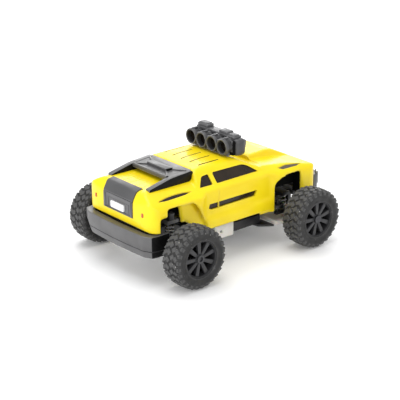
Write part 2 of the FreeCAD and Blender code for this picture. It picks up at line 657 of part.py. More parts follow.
def build_pivot_block():
    base = block("pivot_base", ("tub_rear - 7.9", "tub_rear"),
                 (negative("tub_half"), "tub_half"), ("keel_bottom", "block_top"))
    slot = block("pivot_slot", ("tub_rear - 9", "tub_rear - 3.1"),
                 ("0 - tongue_half - 0.4", "tongue_half + 0.4"), ("4", "block_top + 1"))
    bore = rod("pivot_bore", "y", "pin_radius + seat_gap", ("-14", "14"),
               ("pivot_place", "pivot_height"))
    sub_part(cut("pivot", base, slot, bore), "pivot_block")


def build_hinge_pins():
    """Pod pivot across the truck and one pin along it for each front arm."""
    pins = [rod("pivot_pin", "y", "pin_radius", ("-11.5", "11.5"), ("pivot_place", "pivot_height"))]
    for word, side in SIDES:
        pins.append(rod(f"arm_pin_{word}", "x", "pin_radius",
                        ("front_axle - 9.3", "front_axle + 7.7"),
                        (sided(side, "hinge_half"), "hinge_height")))
    sub_part(grouped("pins", *pins), "hinge_pins")


def build_shock_tower():
    plate = block("tower_plate", ("rear_axle - 1.9", "rear_axle + 2.5"),
                  (negative("tower_half"), "tower_half"), ("rail_top", "rail_top + tower_thick"))
    posts = [rod(f"post_{word}", "z", "post_radius",
                 ("rail_top + 0.5", "rail_top + tower_thick + post_height"),
                 ("rear_axle + 0.3", sided(side, "tower_half - 1.2"))) for word, side in SIDES]
    sub_part(fused("tower", plate, *posts), "shock_tower")


def build_front_bulkhead():
    """Lugs for the arm pins and a plate above the front springs."""
    rear = ("front_axle - 9.5", "front_axle - 8.1")
    front = ("front_axle + 6.5", "front_axle + 7.9")
    top = ("tub_bottom", "hinge_height + 1.1")
    base = block("bulkhead_base", (rear[0], front[1]), ("-3.9", "3.9"), top)
    lugs = [block(f"bulkhead_lug_{i}", reach, ("0 - hinge_half - 0.9", "hinge_half + 0.9"), top)
            for i, reach in enumerate((rear, front))]
    middle = ("front_axle - 1.7", "front_axle + 1.7")
    column = block("bulkhead_column", middle, ("-3.9", "3.9"),
                   ("hinge_height + 1", "front_plate_bottom + 0.2"))
    plate = block("bulkhead_plate", middle,
                  ("0 - front_spring_half - 2.3", "front_spring_half + 2.3"),
                  ("front_plate_bottom", "front_plate_bottom + tower_thick"))
    bores = [rod(f"bulkhead_bore_{word}", "x", "pin_radius + seat_gap",
                 ("front_axle - 12", "front_axle + 12"), (sided(side, "hinge_half"), "hinge_height"))
             for word, side in SIDES]
    sub_part(cut("bulkhead", fused("bulkhead_whole", base, *lugs, column, plate), *bores),
             "front_bulkhead")


def build_electrics():
    sub_part(block("cell", ("-8", "6.4"), ("-7", "7"), ("block_top + face_gap", "15.4")), "battery")
    board = block("board_plate", ("-9", "8"), ("-8", "8"), ("15.5", "16.3"))
    chips = [block("chip_main", ("-4", "1"), ("-2.5", "2.5"), ("16.2", "17.1")),
             block("chip_drive", ("3.4", "6.4"), ("-5", "-2"), ("16.2", "17")),
             block("board_crystal", ("3.4", "6.6"), ("2", "3.4"), ("16.2", "17.3"))]
    sub_part(fused("board", board, *chips), "receiver_board")
    reach = ("tub_rear + 1.5", "tub_rear + 1.5 + port_width")
    heights = ("tub_top", "tub_top + port_height")
    shell = block("port_shell", reach, ("8", "tub_half"), heights)
    mouth = block("port_mouth", ("tub_rear + 1.8", "tub_rear + 1.2 + port_width"),
                  ("8.6", "tub_half + 1"), ("tub_top + 0.3", "tub_top + port_height - 0.3"))
    tongue = block("port_tongue", ("tub_rear + 2.6", "tub_rear + 0.4 + port_width"),
                   ("8.3", "tub_half - 0.6"),
                   ("tub_top + port_height / 2 - 0.2", "tub_top + port_height / 2 + 0.2"))
    sub_part(fused("port", cut("port_body", shell, mouth), tongue), "charge_socket")


def build_switch():
    """Slide switch on the tub floor with its knob below the keel."""
    start = "tub_rear + 2.2"
    end = f"{start} + switch_travel + switch_knob"
    case = block("switch_box", ("tub_rear + 1.4", "tub_rear + 3.2 + switch_travel + switch_knob"),
                 ("-7", "-3.4"), ("tub_top", "tub_top + 1.8"))
    room = block("switch_room", (f"{start} - 0.2", f"{end} + 0.2"), ("-6.1", "-4.3"),
                 ("tub_top - 1", "tub_top + 1.2"))
    sub_part(cut("switch_shell", case, room), "switch_case")
    knob = block("knob", (start, f"{start} + switch_knob"), ("-5.9", "-4.5"),
                 ("keel_bottom - 0.7", "tub_top + 1"))
    sub_part(knob, "switch_knob")


def build_servo():
    case = block("servo_box", ("front_axle - 16.5", "front_axle - 9.9"), ("-4.5", "4.5"),
                 ("tub_top", "14.6"))
    bore = rod("servo_bore", "x", "1 + running_gap", ("front_axle - 11.4", "front_axle - 9"),
               ("0", "horn_axis"))
    sub_part(cut("servo", case, bore), "servo_case")
    front = "front_axle - 9.6"
    disc = rod("horn_disc", "x", "1.6", (front, f"{front} + 0.8"), ("0", "horn_axis"))
    shaft = rod("horn_shaft", "x", "1", ("front_axle - 11", f"{front} + 0.4"), ("0", "horn_axis"))
    arm = block("horn_bar", (front, f"{front} + 0.8"), ("-0.8", "0.8"),
                ("horn_axis", "horn_tip + 0.8"))
    pin = rod("horn_peg", "x", "horn_pin", (f"{front} + 0.5", "stud_place + 0.8"), ("0", "horn_tip"))
    sub_part(fused("horn", disc, shaft, arm, pin), "servo_horn")


def build_screws():
    """Countersunk screws that hold the tower, the front plate and the bumper lugs."""
    places = [("rear_axle + 0.3", sided(side, "8.2"), "rail_top + tower_thick") for _, side in SIDES]
    places += [("front_axle", sided(side, "2.4"), "front_plate_bottom + tower_thick")
               for _, side in SIDES]
    screws = [rod(f"screw_{i}", "z", "screw_head", (seat, f"{seat} + 0.6"), (along, out))
              for i, (along, out, seat) in enumerate(places)]
    sub_part(grouped("screws", *screws), "chassis_screws")


# ---------------------------------------------------------------- drive pod


def gear(name, teeth, pitch, bore, reach, phase):
    """Spur gear about the body's Y axis; phase 0 points a tooth forward, 1 a gap."""
    body = new_body(name)
    pad(body, f"{name}_disc", "y", reach, circles=((f"{pitch} - 1.15 * tooth_module",), (bore,)))
    root = f"{pitch} - 1.35 * tooth_module"
    tip = f"{pitch} + 0.85 * tooth_module"
    turn = 180.0 / teeth * phase
    corners = [(root, "0.86 * tooth_module"), (pitch, "0.62 * tooth_module"),
               (tip, "0.3 * tooth_module")]
    corners += [(out, negative(half)) for out, half in reversed(corners)]
    turned = [(f"({out}) * cos({turn} deg) - ({up}) * sin({turn} deg)",
               f"({out}) * sin({turn} deg) + ({up}) * cos({turn} deg)") for out, up in corners]
    tooth = pad(body, f"{name}_tooth", "y", reach, turned)
    repeat(body, f"{name}_teeth", tooth, teeth)
    return body


def pod_case():
    """Drive housing round the spur and motor with an axle tube to each side."""
    walls = ("-8.3", "7.4")
    pieces = [
        rod("case_axle", "y", "case_radius", walls, ("rear_axle", "axle_height")),
        rod("case_motor", "y", "motor_radius + 1", walls, ("motor_place", "axle_height")),
        block("case_fill", ("rear_axle", "motor_place"), walls,
              ("axle_height - motor_radius - 1", "axle_height + motor_radius + 1")),
        rod("case_tube", "y", "tube_radius", (negative("tube_half"), "tube_half"),
            ("rear_axle", "axle_height")),
        block("tongue", ("motor_place", "pivot_place"), (negative("tongue_half"), "tongue_half"),
              ("pivot_height - 1.4", "pivot_height + 1.4")),
        rod("tongue_eye", "y", "1.4", (negative("tongue_half"), "tongue_half"),
            ("pivot_place", "pivot_height")),
    ]
    for word, side in SIDES:
        pieces.append(block(f"spring_seat_{word}", ("rear_axle - 1.9", "rear_axle + 1.9"),
                            span(side, "rear_spring_half - 1.9", "rear_spring_half + 1.9"),
                            ("axle_height + 0.5", "seat_height")))
    room = ("-7.6", "6.7")
    hollow = [
        rod("room_axle", "y", "case_bore", room, ("rear_axle", "axle_height")),
        rod("room_motor", "y", "motor_radius + motor_gap", room, ("motor_place", "axle_height")),
        block("room_fill", ("rear_axle", "motor_place"), room,
              ("axle_height - motor_radius - motor_gap", "axle_height + motor_radius + motor_gap")),
        rod("room_bush", "y", "bush_radius + seat_gap", ("-20", "20"), ("rear_axle", "axle_height")),
        rod("eye_bore", "y", "pin_radius + running_gap", ("-8", "8"),
            ("pivot_place", "pivot_height")),
    ]
    return pieces, hollow


def build_pod():
    for name, label, heights in (("case_low", "gearbox_lower", ("2", "axle_height")),
                                 ("case_high", "gearbox_upper", ("axle_height", "16"))):
        half = block(f"{name}_half", ("rear_end", "0"), ("-20", "20"), heights)
        pieces, hollow = pod_case()
        sub_part(shared(name, cut(f"{name}_cut", fused(f"{name}_solid", *pieces), *hollow), half),
                 label)
    can = rod("motor_can", "y", "motor_radius", ("-7.4", "2.8"), ("motor_place", "axle_height"))
    hole = rod("motor_hole", "y", "shaft_radius + running_gap", ("0.8", "4"),
               ("motor_place", "axle_height"))
    sub_part(cut("motor", can, hole), "motor")
    bushes = []
    for word, side in SIDES:
        reach = span(side, "tube_half - bush_length", "tube_half")
        centre = ("rear_axle", "axle_height")
        outer = rod(f"bush_outer_{word}", "y", "bush_radius", reach, centre)
        inner = rod(f"bush_bore_{word}", "y", "axle_bore", reach, centre)
        bushes.append(cut(f"bush_{word}", outer, inner))
    sub_part(grouped("bushes", *bushes), "axle_bushes")
    heads = [rod(f"case_screw_{i}", "z", "0.7", ("seat_height", "seat_height + 0.5"),
                 (f"rear_axle + {along}", sided(side, "10.2")))
             for i, (along, side) in enumerate(((0, 1), (0, -1)))]
    sub_part(grouped("case_screws", *heads), "gearbox_screws")


def build_drive():
    centre = ("motor_place", "axle_height")
    sub_part(rod("armature", "y", "shaft_radius", ("1", "6.2"), centre), "motor_shaft")
    pinion = gear("pinion_gear", PINION_TEETH, "pinion_pitch", "shaft_radius + seat_gap",
                  ("3.8", "3.8 + gear_width"), 1)
    bind(pinion, "Placement.Base.z", "axle_height")
    pinion.Placement = FreeCAD.Placement(VECTOR(), FreeCAD.Rotation(VECTOR(0, 1, 0), 180))
    sub_part(pinion, "pinion", "motor_place")
    spur = gear("spur", SPUR_TEETH, "spur_pitch", "axle_radius + seat_gap",
                ("3.8", "3.8 + gear_width"), 0)
    bind(spur, "Placement.Base.z", "axle_height")
    sub_part(spur, "spur_gear", "rear_axle")
    shaft = rod("axle", "y", "axle_radius", ("0 - wheel_half - spoke_outer - 0.4",
                                             "wheel_half + spoke_outer + 0.4"),
                ("rear_axle", "axle_height"))
    sub_part(shaft, "axle_shaft")


def build_rear_springs():
    coils = [coil(f"rear_coil_{word}", ("rear_axle", sided(side, "rear_spring_half")),
                  "seat_height + 0.05", "rail_top - 0.05", REAR_COIL_TURNS) for word, side in SIDES]
    sub_part(grouped("rear_coils", *coils), "rear_springs")


# ---------------------------------------------------------------- wheels


def tyre(name):
    """Tyre turned about the wheel's Y axis."""
    body = new_body(name)
    sketch = sketch_on(body, f"{name}_sketch", "x", "0")
    half = "tyre_width / 2"
    right = [(f"{half} - tyre_shoulder", "tyre_radius"), (half, "tyre_radius - tyre_shoulder"),
             (half, "bead_radius + bead_chamfer"), (f"{half} - 0.5", "bead_radius")]
    left = [(negative(out), up) for out, up in reversed(right)]
    draw_polygon(sketch, right + left)
    turned = body.newObject("PartDesign::Revolution", f"{name}_turned")
    turned.Profile = sketch
    turned.ReferenceAxis = (sketch, ["H_Axis"])
    turned.Angle = 360
    body.Tip = turned
    return body


def rim(name):
    """Barrel, hub and spokes about the wheel's Y axis, spokes to the outside."""
    body = new_body(name)
    seat = "bead_radius - seat_gap"
    inside = "bead_radius - rim_wall"
    pad(body, f"{name}_barrel", "y", ("0 - rim_width / 2", "rim_width / 2"),
        circles=((seat,), (inside,)))
    reach = ("spoke_inner", "spoke_outer")
    points = [("hub_radius - 0.6", "0 - spoke_width / 2"), (f"{inside} + 0.3", "0 - spoke_width / 2"),
              (f"{inside} + 0.3", "spoke_width / 2"), ("hub_radius - 0.6", "spoke_width / 2")]
    spoke = pad(body, f"{name}_spoke", "y", reach, points)
    repeat(body, f"{name}_spokes", spoke, SPOKES)
    pad(body, f"{name}_hub", "y", ("0 - hub_length", "spoke_outer"), circles=(("hub_radius",),))
    sketch = sketch_on(body, f"{name}_bore_sketch", "y", "spoke_outer + 1")
    draw_circle(sketch, "axle_bore")
    bore = body.newObject("PartDesign::Pocket", f"{name}_bore")
    bore.Profile = sketch
    bore.Type = "ThroughAll"
    bore.Midplane = True
    body.Tip = bore
    return body


def place_wheel(thing, side, label, axle):
    """Put a wheel piece on its axle with its outside facing out."""
    if side < 0:
        thing.Placement = FreeCAD.Placement(VECTOR(), FreeCAD.Rotation(VECTOR(0, 0, 1), 180))
    bind(thing, "Placement.Base.y", sided(side, "wheel_half"))
    bind(thing, "Placement.Base.z", "axle_height")
    sub_part(thing, label, axle)


def build_wheels():
    for end in ("front", "rear"):
        for word, side in SIDES:
            name = f"{end}_{word}"
            place_wheel(tyre(f"tyre_{name}"), side, f"{end}_tyre_{word}", f"{end}_axle")
            place_wheel(rim(f"rim_{name}"), side, f"{end}_rim_{word}", f"{end}_axle")
    nuts = []
    for word, side in SIDES:
        reach = span(side, "wheel_half + spoke_outer + seat_gap",
                     "wheel_half + spoke_outer + nut_length")
        centre = ("rear_axle", "axle_height")
        nut = rod(f"nut_{word}", "y", "nut_radius", reach, centre)
        hole = rod(f"nut_hole_{word}", "y", "axle_radius + seat_gap", reach, centre)
        nuts.append(cut(f"nut_cut_{word}", nut, hole))
    sub_part(grouped("nuts", *nuts), "rear_wheel_nuts")


# ---------------------------------------------------------------- front end


def build_front_arm(word, side):
    """Wide lower arm on its hinge pin with the kingpin at its outer end."""
    plate_points = [("front_axle - 7.8", "hinge_half"), ("front_axle - 7.8", "kingpin_half - 0.8"),
                    ("front_axle - 3.6", "kingpin_half + 0.8"),
                    ("front_axle + 1.6", "kingpin_half + 1.5"),
                    ("front_axle + 3.2", "kingpin_half - 0.4"), ("front_axle + 6.2", "hinge_half")]
    points = [(along, sided(side, out)) for along, out in plate_points]
    plate = outline(f"arm_plate_{word}", "z", ("arm_bottom", "arm_top"), points)
    ends = ("front_axle - 7.8", "front_axle + 6.2")
    hinge = (sided(side, "hinge_half"), "hinge_height")
    kingpin = ("front_axle", sided(side, "kingpin_half"))
    barrel = rod(f"arm_barrel_{word}", "x", "barrel_radius", ends, hinge)
    bore = rod(f"arm_bore_{word}", "x", "pin_radius + running_gap", ends, hinge)
    seat = rod(f"arm_seat_{word}", "z", "kingpin_radius + seat_gap", ("arm_bottom - 1", "arm_top + 1"),
               kingpin)
    sub_part(cut(f"arm_{word}", fused(f"arm_whole_{word}", plate, barrel), bore, seat),
             f"front_arm_{word}")
    stem = rod(f"kingpin_stem_{word}", "z", "kingpin_radius", ("arm_bottom", "13"), kingpin)
    head = rod(f"kingpin_head_{word}", "z", "kingpin_radius + 0.5", ("12.35", "13"), kingpin)
    sub_part(fused(f"kingpin_{word}", stem, head), f"kingpin_{word}")


def build_knuckle(word, side):
    """Carrier that turns on the kingpin, with a steering arm behind and a stub axle."""
    kingpin = ("front_axle", sided(side, "kingpin_half"))
    carrier = block(f"carrier_{word}", ("front_axle - 1.6", "front_axle + 1.6"),
                    span(side, "kingpin_half - 1.6", "kingpin_half + 1.7"), ("arm_top + 0.4", "12.2"))
    arm = block(f"steer_arm_{word}", ("stud_place - 0.9", "front_axle - 1"),
                span(side, "stud_half - 0.7", "stud_half + 0.6"), ("10", "11"))
    stud = rod(f"stud_{word}", "z", "stud_radius", ("10.5", "15.2"),
               ("stud_place", sided(side, "stud_half")))
    bore = rod(f"kingpin_bore_{word}", "z", "kingpin_radius + running_gap", ("5", "14"), kingpin)
    axis = ("front_axle", "axle_height")
    inner = "kingpin_half + 0.9"
    seat = rod(f"stub_seat_{word}", "y", "axle_radius + seat_gap",
               span(side, inner, "kingpin_half + 3"), axis)
    sub_part(cut(f"knuckle_body_{word}", fused(f"knuckle_whole_{word}", carrier, arm, stud), bore,
                 seat), f"knuckle_{word}")
    end = "wheel_half + spoke_outer + running_gap"
    stub = rod(f"stub_{word}", "y", "axle_radius", span(side, inner, f"{end} + 0.4"), axis)
    head = rod(f"stub_head_{word}", "y", "nut_radius", span(side, end, f"{end} + nut_length"), axis)
    sub_part(fused(f"stub_axle_body_{word}", stub, head), f"stub_axle_{word}")


def build_front_springs():
    for word, side in SIDES:
        sub_part(coil(f"front_coil_{word}", ("front_axle", sided(side, "front_spring_half")),
                      "arm_top + 0.05", "front_plate_bottom - 0.05", FRONT_COIL_TURNS),
                 f"front_spring_{word}")


def build_steering_link():
    heights = ("link_bottom", "link_bottom + link_thick")
    along = ("stud_place - 0.5", "stud_place + 0.5")
    bar = block("link_bar", along, ("0 - stud_half + 1.4", "stud_half - 1.4"), heights)
    plate = block("link_plate", along, ("-2.2", "2.2"), ("horn_tip - 1.7", "horn_tip + 1.2"))
    slot = block("link_slot", ("stud_place - 1", "stud_place + 1"), ("-0.62", "0.62"),
                 ("horn_tip - 1.15", "horn_tip + 0.55"))
    eyes = []
    bores = []
    for word, side in SIDES:
        centre = ("stud_place", sided(side, "stud_half"))
        eyes.append(rod(f"link_eye_{word}", "z", "eye_radius", heights, centre))
        bores.append(rod(f"link_bore_{word}", "z", "eye_bore", ("10", "16"), centre))
    sub_part(cut("link", fused("link_whole", bar, plate, *eyes), slot, *bores), "steering_link")


# ---------------------------------------------------------------- build and write


def build_truck():
    write_sheet()
    build_shell()
    build_glazing()
    build_tailgate()
    build_nose()
    build_sail()
    build_light_bar()
    build_rear_bumper()
    build_front_bumper()
    build_tub()
    build_pivot_block()
    build_hinge_pins()
    build_shock_tower()
    build_front_bulkhead()
    build_electrics()
    build_switch()
    build_servo()
    build_screws()
    build_pod()
    build_drive()
    build_rear_springs()
    build_wheels()
    for word, side in SIDES:
        build_front_arm(word, side)
        build_knuckle(word, side)
    build_front_springs()
    build_steering_link()
    DOCUMENT.recompute()


def check_truck():
    """Stop if any object failed or any sub-part has no valid solid."""
    for thing in DOCUMENT.Objects:
        if any(word in thing.State for word in ("Invalid", "Error")):
            raise RuntimeError(f"{thing.Name} did not build: {thing.State}")
    for thing in SUB_PARTS:
        if thing.Shape.isNull() or not thing.Shape.isValid() or not thing.Shape.Solids:
            raise RuntimeError(f"{thing.Label} has no valid solid")


def write_truck():
    os.makedirs("parts", exist_ok=True)
    for thing in SUB_PARTS:
        thing.Shape.exportStep(f"parts/{thing.Label}.step")
        print(thing.Label, len(thing.Shape.Solids), round(thing.Shape.Volume, 3))


build_truck()
check_truck()
write_truck()
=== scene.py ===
import sys

import logging
import math
import random
from collections.abc import Callable, Iterable, Sequence
from dataclasses import dataclass, field
from enum import Enum

import bmesh
import bpy
from bmesh.types import BMesh
from mathutils import Matrix, Vector


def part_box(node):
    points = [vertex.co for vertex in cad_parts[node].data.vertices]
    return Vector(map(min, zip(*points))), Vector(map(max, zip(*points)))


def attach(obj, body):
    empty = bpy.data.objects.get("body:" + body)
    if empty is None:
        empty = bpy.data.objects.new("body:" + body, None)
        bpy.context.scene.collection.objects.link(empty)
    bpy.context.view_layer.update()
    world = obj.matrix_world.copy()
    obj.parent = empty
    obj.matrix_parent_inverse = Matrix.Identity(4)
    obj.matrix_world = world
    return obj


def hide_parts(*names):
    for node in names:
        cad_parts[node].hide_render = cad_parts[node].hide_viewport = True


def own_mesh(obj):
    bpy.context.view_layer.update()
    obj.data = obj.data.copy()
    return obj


# Looks of the micro remote control truck, modelled in millimetres in the truck's own frame:
# +X forward, +Y left, +Z up, x = 0 midway between the axles and z = 0 on the ground.

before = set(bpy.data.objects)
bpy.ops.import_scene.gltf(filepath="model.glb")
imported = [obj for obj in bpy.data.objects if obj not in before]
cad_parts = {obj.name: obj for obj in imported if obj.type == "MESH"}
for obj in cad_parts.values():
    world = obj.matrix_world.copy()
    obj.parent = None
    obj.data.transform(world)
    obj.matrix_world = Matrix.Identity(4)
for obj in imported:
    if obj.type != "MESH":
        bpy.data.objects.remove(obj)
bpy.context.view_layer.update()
LOG = logging.getLogger("truck")
MM = 0.001
CREASE = 32.0
Point = tuple[float, float]
Corner = tuple[float, float, float]
Reach = tuple[float, float]
Triple = tuple[float, float, float]
Outline = tuple[Corner, ...]


class Axis(Enum):
    """An axis of the truck, with the directions that an outline's two coordinates take."""

    X = Matrix(((0, 0, 1, 0), (1, 0, 0, 0), (0, 1, 0, 0), (0, 0, 0, 1)))
    Y = Matrix(((1, 0, 0, 0), (0, 0, 1, 0), (0, 1, 0, 0), (0, 0, 0, 1)))
    Z = Matrix.Identity(4)


class Merge(Enum):
    """How a tool shape works on a base shape."""

    ADD = "UNION"
    CUT = "DIFFERENCE"
    SHARE = "INTERSECT"


class Side(Enum):
    """The truck's two sides, with the sign of their Y."""

    LEFT = 1
    RIGHT = -1

    @property
    def word(self) -> str:
        """The side's name in lower case, as the frame's nodes use it."""
        return self.name.lower()

    @property
    def mirror(self) -> Matrix:
        """The matrix that takes a shape made for the left to this side."""
        return Matrix.Scale(self.value, 4, (0, 1, 0))


# ---------------------------------------------------------------- shaping


def shift_to_row() -> Matrix:
    """Find the move from truck millimetres to the row frame's metres.

    Returns:
        A matrix that scales to metres and puts the middle of the wheelbase where the axles say.
    """
    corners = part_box("front_tyre_left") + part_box("rear_tyre_left")
    middle = sum(corner.x for corner in corners) / len(corners)
    return Matrix.Translation((middle, 0, 0)) @ Matrix.Scale(MM, 4)


def prism(outline: Sequence[Corner], axis: Axis, reach: Reach, inset: float = 0.0,
          segments: int = 4) -> BMesh:
    """Extrude an outline with rounded corners.

    Args:
        outline: Corners as two coordinates and the length that rounding takes off each edge.
        axis: The axis to extrude along.
        reach: Where the prism starts and ends along the axis.
        inset: How far the outline is moved inwards before it is rounded.
        segments: Edges that round each corner.

    Returns:
        A closed prism.
    """
    bm = bmesh.new()
    face = bm.faces.new([bm.verts.new((u, v, 0)) for u, v, _ in outline])
    face.normal_update()
    if inset:
        ring = bmesh.ops.inset_region(bm, faces=[face], thickness=inset, use_boundary=True,
                                      use_even_offset=True)["faces"]
        bmesh.ops.delete(bm, geom=ring, context="FACES")
    rounds: dict[float, list] = {}
    for vert in bm.verts:
        nearest = min(outline, key=lambda c: (vert.co.x - c[0]) ** 2 + (vert.co.y - c[1]) ** 2)
        if nearest[2] - inset > 0.05:
            rounds.setdefault(nearest[2] - inset, []).append(vert)
    for size, verts in rounds.items():
        bmesh.ops.bevel(bm, geom=verts, offset=size, segments=segments, profile=0.5,
                        affect="VERTICES", material=-1, clamp_overlap=True)
    grown = bmesh.ops.extrude_face_region(bm, geom=list(bm.faces))["geom"]
    raised = [item for item in grown if isinstance(item, bmesh.types.BMVert)]
    bmesh.ops.translate(bm, verts=raised, vec=(0, 0, reach[1] - reach[0]))
    laid = axis.value @ Matrix.Translation((0, 0, reach[0]))
    bmesh.ops.transform(bm, verts=bm.verts, matrix=laid)
    bmesh.ops.recalc_face_normals(bm, faces=bm.faces)
    return bm


def slab(x: Reach, y: Reach, z: Reach, soft: float = 0.0, segments: int = 2) -> BMesh:
    """Make a block between two places along each axis, with its edges rounded by soft."""
    bm = bmesh.new()
    bmesh.ops.create_cube(bm, size=1.0)
    sizes = [reach[1] - reach[0] for reach in (x, y, z)]
    middles = [(reach[1] + reach[0]) / 2 for reach in (x, y, z)]
    bmesh.ops.scale(bm, vec=sizes, verts=bm.verts)
    bmesh.ops.translate(bm, vec=middles, verts=bm.verts)
    if soft:
        soften(bm, soft, segments)
    return bm


def soften(bm: BMesh, width: float, segments: int = 2, over: float = 25.0) -> BMesh:
    """Round every edge of a shape that turns by more than an angle in degrees."""
    sharp = [edge for edge in bm.edges
             if len(edge.link_faces) == 2 and math.degrees(edge.calc_face_angle(0.0)) > over]
    bmesh.ops.bevel(bm, geom=sharp, offset=width, segments=segments, profile=0.5,
                    affect="EDGES", material=-1, clamp_overlap=True)
    return bm


def turned(profile: Sequence[Point], axis: Axis, steps: int = 48, closed: bool = False) -> BMesh:
    """Spin a profile about an axis through the origin.

    Args:
        profile: Points as place along the axis and radius.
        axis: The axis that the shape is turned about.
        steps: Steps in the full turn.
        closed: Whether the profile's last point joins its first, as for a ring.

    Returns:
        A closed shape of revolution, its poles capped by points at radius 0.
    """
    bm = bmesh.new()
    verts = [bm.verts.new((radius, 0, along)) for along, radius in profile]
    pairs = list(zip(verts, verts[1:])) + ([(verts[-1], verts[0])] if closed else [])
    edges = [bm.edges.new(ends) for ends in pairs]
    bmesh.ops.spin(bm, geom=verts + edges, cent=(0, 0, 0), axis=(0, 0, 1), angle=math.tau,
                   steps=steps, use_merge=True, use_duplicate=False)
    bmesh.ops.remove_doubles(bm, verts=bm.verts, dist=0.001)
    bmesh.ops.transform(bm, verts=bm.verts, matrix=axis.value)
    bmesh.ops.recalc_face_normals(bm, faces=bm.faces)
    return bm


def rod(axis: Axis, radius: float, reach: Reach, centre: Triple, sides: int = 32,
        soft: float = 0.0, tip: float | None = None) -> BMesh:
    """Make a round or many-sided rod along an axis.

    Args:
        axis: The axis that it lies along.
        radius: Radius where it starts.
        reach: Where it starts and ends along the axis.
        centre: A point on the rod's line; its coordinate along the axis isn't used.
        sides: Sides of the rod.
        soft: How much its end edges are rounded.
        tip: Radius where it ends, if that isn't the same.

    Returns:
        A closed rod.
    """
    bm = bmesh.new()
    bmesh.ops.create_cone(bm, cap_ends=True, segments=sides, radius1=radius,
                          radius2=radius if tip is None else tip, depth=reach[1] - reach[0])
    place = Vector(centre)
    place["XYZ".index(axis.name)] = sum(reach) / 2
    bmesh.ops.transform(bm, verts=bm.verts, matrix=Matrix.Translation(place) @ axis.value)
    bmesh.ops.recalc_face_normals(bm, faces=bm.faces)
    if soft:
        soften(bm, soft, 2, 40.0)
    return bm


def stand(name: str, data: bpy.types.ID | None) -> bpy.types.Object:
    """Put an object that holds some data in the scene."""
    thing = bpy.data.objects.new(name, data)
    bpy.context.collection.objects.link(thing)
    return thing


def stand_shape(name: str, bm: BMesh) -> bpy.types.Object:
    """Put an object that holds a shape in the scene."""
    mesh = bpy.data.meshes.new(name)
    bm.to_mesh(mesh)
    return stand(name, mesh)


def discard(thing: bpy.types.Object) -> None:
    """Take an object and its mesh out of the scene."""
    mesh = thing.data
    bpy.data.objects.remove(thing)
    bpy.data.meshes.remove(mesh)


def around(middle: float, half: float) -> Reach:
    """Reach as far to each side of a place."""
    return middle - half, middle + half


def moved(bm: BMesh, matrix: Matrix) -> BMesh:
    """Copy a shape through a matrix, and turn it the right way out if that mirrors it."""
    copy = bm.copy()
    bmesh.ops.transform(copy, verts=copy.verts, matrix=matrix)
    if matrix.determinant() < 0:
        bmesh.ops.reverse_faces(copy, faces=copy.faces)
    return copy


def shifted(bm: BMesh, x: float = 0.0, y: float = 0.0, z: float = 0.0) -> BMesh:
    """Copy a shape by a distance along each axis."""
    return moved(bm, Matrix.Translation((x, y, z)))


def flipped(bm: BMesh) -> BMesh:
    """Mirror a shape to the truck's other side."""
    return moved(bm, Side.RIGHT.mirror)


def with_mirror(shapes: Iterable[BMesh]) -> list[BMesh]:
    """List some shapes and then each one's mirror image."""
    made = list(shapes)
    return made + [flipped(shape) for shape in made]


def gathered(shapes: Iterable[BMesh]) -> BMesh:
    """Put several shapes in one mesh without joining their surfaces."""
    bm = bmesh.new()
    for shape in shapes:
        part = bpy.data.meshes.new("part")
        shape.to_mesh(part)
        bm.from_mesh(part)
        bpy.data.meshes.remove(part)
    return bm


def pair(shape: BMesh) -> BMesh:
    """Put a shape and its mirror image in one mesh."""
    return gathered(with_mirror([shape]))


def evaluated(bm: BMesh, dress: Callable[[bpy.types.Object], None]) -> BMesh:
    """Run modifiers on a shape and take the result.

    Args:
        bm: The shape.
        dress: Adds the modifiers to a passing object that holds the shape.

    Returns:
        The shape with its modifiers applied.
    """
    thing = stand_shape("passing", bm)
    dress(thing)
    result = bmesh.new()
    result.from_object(thing, bpy.context.evaluated_depsgraph_get())
    discard(thing)
    return result


def merged(base: BMesh, merge: Merge, *tools: BMesh) -> BMesh:
    """Add, cut or share solids one after another.

    Args:
        base: The solid worked on.
        merge: What each tool does to it.
        tools: The tool solids.

    Returns:
        The finished solid.
    """
    helpers = [stand_shape("tool", tool) for tool in tools]

    def dress(thing: bpy.types.Object) -> None:
        """Give the passing object one boolean for each tool."""
        for helper in helpers:
            boolean = thing.modifiers.new("merge", "BOOLEAN")
            boolean.operation = merge.value
            boolean.solver = "EXACT"
            boolean.object = helper

    result = evaluated(base, dress)
    for helper in helpers:
        discard(helper)
    return result


def moulded(bm: BMesh, voxel: float, passes: int) -> BMesh:
    """Flow a solid into one even skin with soft edges, as a moulding has.

    Args:
        bm: The solid.
        voxel: Size of the skin's squares.
        passes: Times that the skin is smoothed.

    Returns:
        The smooth skin.
    """

    def dress(thing: bpy.types.Object) -> None:
        """Give the passing object a voxel skin."""
        skin = thing.modifiers.new("skin", "REMESH")
        skin.mode = "VOXEL"
        skin.voxel_size = voxel

    result = evaluated(bm, dress)
    for _ in range(passes):
        bmesh.ops.smooth_vert(result, verts=result.verts, factor=0.5, use_axis_x=True,
                              use_axis_y=True, use_axis_z=True)
    return result


def both(points: Sequence[Corner]) -> list[Corner]:
    """Close a half outline across its first coordinate."""
    return list(points) + [(-u, v, r) for u, v, r in reversed(points)]


def both_plan(points: Sequence[Corner]) -> list[Corner]:
    """Close a half plan across its second coordinate."""
    return list(points) + [(u, -v, r) for u, v, r in reversed(points) if abs(v) > 0.01]


# ---------------------------------------------------------------- finishes

COAT_ROUGHNESS = 0.12
BUMP_STRENGTH = 0.6
DUST_SIZE = 0.5
DUST_COLOUR = (0.75, 0.72, 0.68)


